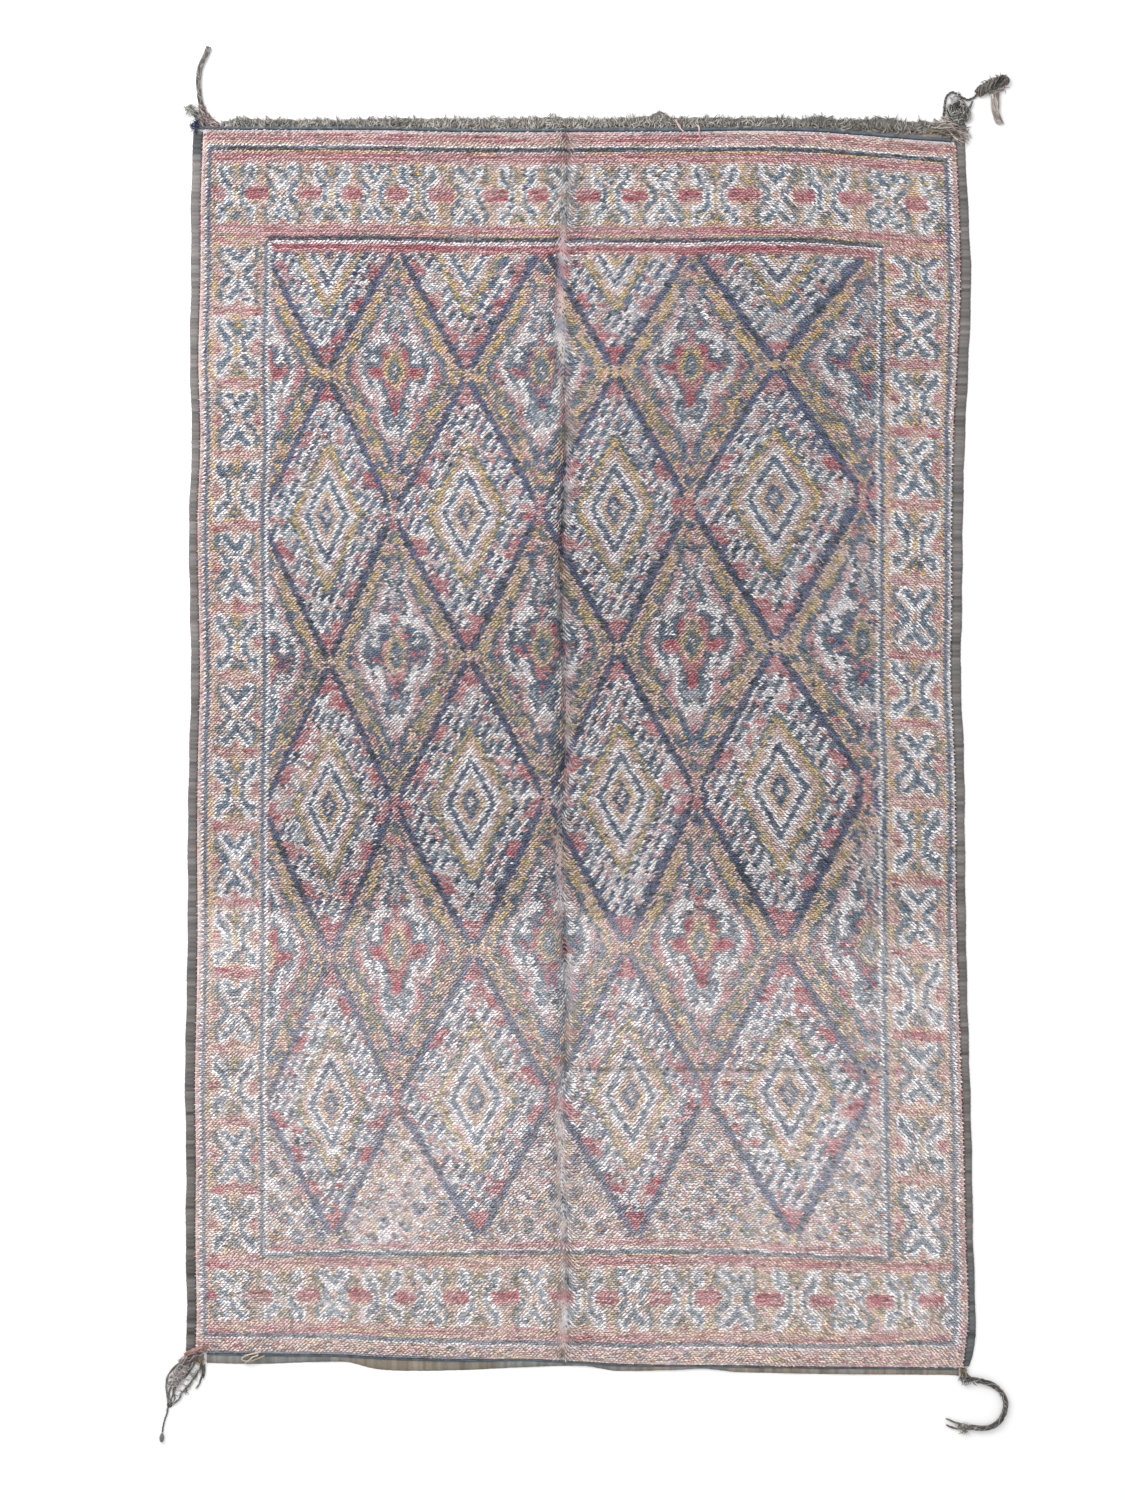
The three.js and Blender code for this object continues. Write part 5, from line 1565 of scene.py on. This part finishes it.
# What each corner end is made of, in the order in which it is made, lengths in mm:
# a mound is its middle, half sizes, turn, height, colour and salt;
# a bunch is bundles, radius, colours and salt, and each of its bundles is routes, their height where they
#   have none of their own, strands, steps, spread, turns, how far they wander and the first route's salt;
# a mat is a route, number of hairs, reach, spread, height, bend, salt, radius, colours and the colours' salt
CORNERS = [
    ("root_tl", "root_top_left", "cord", [
        ("mound", (-889, 1545, 20, 13, -0.62, 8, ROSY[3], 511)),
        ("mound", (-903, 1558, 7, 14, 0.1, 8, GREYS[0], 512)),
        ("bunch", ([([TOP_LEFT_LEAD], 6, 26, 14, 7.5, 0.7, 3.0, 501)], 1.4, ROSY, 502)),
        ("bunch", ([([TOP_LEFT_BACK], 6.5, 20, 12, 6.0, 0.8, 2.5, 503)], 1.4, ROSY[:3] + GREYS[:3], 504)),
        ("mat", (TOP_LEFT_LEAD, 90, 13, 9, 11, 4.0, 505, 0.9, ROSY + GREYS[2:], 506)),
        ("mound", (-914, 1540, 9, 10, 0.35, 9, NAVY[0], 513)),
        ("mat", ([(-918, 1534), (-912, 1546)], 60, 13, 7, 11, 3.0, 507, 1.3, NAVY, 508)),
        ("bunch", ([([TOP_LEFT_STUB], 6, 26, 10, 5.5, 0.5, 1.4, 509)], 1.4, GREYS, 510)),
        ("mat", (TOP_LEFT_STUB[2:], 30, 14, 4, 8, 3.0, 514, 0.9, GREYS[1:3], 515)),
    ]),
    ("tuft_tr", "tuft_top_right", "fringe", [
        ("mound", (947, 1568, 24, 25, 0, 6, CURLS[1], 516)),
        ("mound", (944, 1532, 23, 17, -0.2, 6, CURLS[3], 517)),
        ("bunch", ([([lock_route(*lock) for lock in LOCKS], 0, 8, 18, 2.8, 1.2, 0.8, 520)],
                   1.25, CURLS, 530)),
        ("mat", ([(946, 1590), (948, 1560), (945, 1525)], 300, 17, 23, 10, 5.0, 531, 1.05,
                 CURLS + GREYS[:1], 532)),
        ("mat", ([(930, 1526), (958, 1520)], 80, 18, 12, 11, 2.5, 533, 1.1, ROSY + CURLS[1:], 534)),
        ("bunch", ([([[(962, 1552), (971, 1572), (977, 1584), (982, 1594)]], 6, 10, 14, 2.6, 0.5, 0.5, 535)],
                   1.1, GREYS[:2], 536)),
    ]),
    ("tassel_tr", "tassel_top_right", "fringe", [
        ("mound", (1017, 1629, 15, 8, 0.62, 10, MOSSY[2], 518)),
        ("mound", (1043, 1641, 19, 11, 0.5, 15, MOSSY[2], 519)),
        ("mound", (1061, 1645, 13, 12, 0.2, 17, MOSSY[2], 521)),
        ("bunch", ([([TASSEL_KNOT], 0, 46, 16, 10.5, 1.2, 2.0, 542)], 1.3, MOSSY + [(168, 160, 152)], 543)),
        ("mat", ([(1004, 1623), (1024, 1634), (1044, 1642), (1063, 1646)], 200, 11, 11, 16, 5.0, 537, 1.0,
                 MOSSY + [(190, 178, 170)], 538)),
        ("mat", ([(1032, 1622), (1058, 1628)], 40, 14, 6, 10, 2.5, 539, 1.0, ROSY, 541)),
        ("bunch", ([(TASSEL_ENDS, 6.5, 8, 16, 2.6, 1.5, 0.7, 540)], 1.15, TASSEL, 545)),
    ]),
    ("net_bl", "loops_bottom_left", "cord", [
        ("mound", (-931, -1484, 18, 9, 0.3, 7, ROSY[3], 561)),
        ("mound", (-909, -1486, 8, 9, -0.2, 9, OLIVES[1], 562)),
        ("mound", (-984, -1598, 7, 7, 0, 5, GREYS[3], 564)),
        ("bunch", ([
            ([[(-902, -1478), (-925, -1480), (-945, -1486), (-960, -1494)]], 7, 20, 12, 7, 0.7, 2.5, 563),
        ], 1.3, ROSY + GREYS[:1], 566)),
        ("mat", ([(-912, -1482), (-906, -1490)], 40, 10, 7, 10, 3.0, 567, 1.1, OLIVES, 568)),
        ("bunch", ([
            (NET_THREADS, 3.6, 5, 20, 1.9, 1.8, 0.9, 550), ([NET_NECK], 3, 5, 20, 2.0, 1.5, 0.0, 566),
        ], 1.1, [GREYS[0], GREYS[3], GREYS[0], GREYS[1]], 565)),
        ("mat", ([(-940, -1502), (-956, -1520), (-972, -1546)], 170, 13, 11, 6.5, 4.0, 569, 0.9, WEB, 570)),
        ("mat", ([(-905, -1494), (-925, -1530), (-960, -1580)], 50, 12, 3, 5, 2.0, 571, 0.8, GREYS, 572)),
    ]),
    ("root_br", "root_bottom_right", "cord", [
        ("mound", (961, -1515, 6, 8, 0, 7, OLIVES[1], 573)),
        ("mound", (967, -1533, 13, 9, -0.1, 10, GREYS[3], 574)),
        ("bunch", ([
            ([[(954, -1528), (968, -1534), (984, -1536), (998, -1538)]], 6.5, 22, 14, 5.5, 0.8, 1.5, 587),
        ], 1.4, GREYS, 588)),
        ("mat", ([(960, -1510), (962, -1520)], 34, 9, 6, 8, 3.0, 575, 1.1, OLIVES, 576)),
        ("mat", ([(960, -1532), (975, -1535)], 60, 12, 8, 12, 3.0, 577, 1.1, GREYS, 578)),
    ]),
    ("ends_br", "ends_bottom_right", "cord", [
        ("mound", (961, -1651, 9.5, 8.5, 0, 11, MATTED_KNOB, 583)),
        ("bunch", ([
            ([[(990, -1653), (976, -1652), (962, -1651), (951, -1651)]], 6, 20, 12, 5.0, 0.8, 1.2, 589),
        ], 1.3, GREYS[:3] + ROSY[2:3], 590)),
        ("mat", ([(956, -1651), (968, -1652)], 60, 11, 6, 12, 3.0, 584, 1.1, WHIPPING, 585)),
        ("bunch", ([
            ([[(958, -1646), (943, -1642), (930, -1637), (917.5, -1631)]], 4.5, 8, 14, 1.9, 0.8, 0.4, 581),
            ([[(957, -1656), (942, -1656), (929, -1652), (917.5, -1647)]], 4, 8, 14, 1.8, 0.8, 0.4, 582),
        ], 1.05, GREYS[:2] + ROSY[1:2], 586)),
    ]),
]

# The hard knob, in mm: its radius and how far along it that is, where it starts, and its way in radians
KNOB_PROFILE = table("radius along", [
    (0.05, 0), (2.6, 1), (4.6, 6), (5.6, 12), (4.9, 18), (3, 22), (0.05, 23.4),
])
KNOB_START = (-1002.2, -1666.2, 5.8)
KNOB_TURN = -0.08
KNOB_SIDES = 14


class RUG_OT_corners(bpy.types.Operator):
    """Make the matted, wrapped and looped corner ends and the knob"""

    bl_idname = "rug.corners"
    bl_label = "Corner ends"

    def execute(self, context):
        make = {"mound": mound, "bunch": self.bunch, "mat": self.mat}
        for name, node, slot, parts in CORNERS:
            shape = joined([make[kind](*values) for kind, values in parts])
            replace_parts(add_piece(name, shape, "cord"), node)
        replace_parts(add_piece("knob_bl", self.knob(context), "cord"), "knob_bottom_left")
        return {"FINISHED"}

    def bunch(self, bundles, radius, colours, salt):
        """Hairs in bundles along one or more routes."""
        paths = [
            bundle(route, strands, steps, spread, turns, first_salt + number, wander, height)
            for routes, height, strands, steps, spread, turns, wander, first_salt in bundles
            for number, route in enumerate(routes)
        ]
        return hairs(np.concatenate(paths), radius, colours, salt)

    def mat(self, route, count, reach, spread, height, bend, salt, radius, colours, colour_salt):
        """Matted hairs along a route."""
        return hairs(fuzz(route, count, reach, spread, height, bend, salt), radius, colours, colour_salt)

    def knob(self, context):
        """The hard knob: a profile turned round the cord's line."""
        ahead = np.array([np.sin(KNOB_TURN), -np.cos(KNOB_TURN), 0])
        path = np.array(KNOB_START) + KNOB_PROFILE["along"][:, None] * ahead
        tint = shaded(context.scene.rug_colours.dark_cord, 1, 572)
        return yarns(path[None], KNOB_PROFILE["radius"][None], KNOB_SIDES, tint)


class RUG_OT_loose_yarns(bpy.types.Operator):
    """Lay the loose yarns on the rug's ends"""

    bl_idname = "rug.loose_yarns"
    bl_label = "Loose yarns"

    def execute(self, context):
        parts = []
        for number, (route, count, spread, radius, colours) in enumerate(LOOSE_YARNS):
            paths = bundle(route, count, LOOSE_YARN_STEPS, spread, 1.0, 600 + number, 0.3 + spread / 6)
            parts.append(hairs(paths, radius, colours, 620 + number))
        add_piece("loose_yarns", joined(parts), "cord")
        return {"FINISHED"}


class RUG_PT_panel(bpy.types.Panel):
    """Lists the rug's pieces in the sidebar"""

    bl_idname = "RUG_PT_panel"
    bl_label = "Azilal Rug"
    bl_space_type = "VIEW_3D"
    bl_region_type = "UI"
    bl_category = "Rug"

    def draw(self, context):
        layout = self.layout
        for group in (context.scene.rug_sizes, context.scene.rug_colours, context.scene.rug_stage):
            box = layout.box()
            for name in group.__annotations__:
                box.prop(group, name)
        for operator in OPERATORS:
            layout.operator(operator.bl_idname)


OPERATORS = (
    RUG_OT_stage, RUG_OT_cords, RUG_OT_pile, RUG_OT_ground, RUG_OT_selvedges, RUG_OT_bands, RUG_OT_fringe,
    RUG_OT_corners, RUG_OT_loose_yarns,
)
CLASSES = (RugSizes, RugColours, StageSettings, *OPERATORS, RUG_PT_panel)


def register():
    """Adds the classes and the scene's settings."""
    for item in CLASSES:
        bpy.utils.register_class(item)
    bpy.types.Scene.rug_sizes = bpy.props.PointerProperty(type=RugSizes)
    bpy.types.Scene.rug_colours = bpy.props.PointerProperty(type=RugColours)
    bpy.types.Scene.rug_stage = bpy.props.PointerProperty(type=StageSettings)


def unregister():
    """Takes the settings and the classes away again."""
    del bpy.types.Scene.rug_stage
    del bpy.types.Scene.rug_colours
    del bpy.types.Scene.rug_sizes
    for item in reversed(CLASSES):
        bpy.utils.unregister_class(item)


def main():
    """Makes every piece in order."""
    register()
    bpy.ops.rug.stage()
    bpy.ops.rug.cords()
    bpy.ops.rug.pile()
    bpy.ops.rug.ground()
    bpy.ops.rug.selvedges()
    bpy.ops.rug.bands()
    bpy.ops.rug.fringe()
    bpy.ops.rug.corners()
    bpy.ops.rug.loose_yarns()


if __name__ == "__main__":
    main()
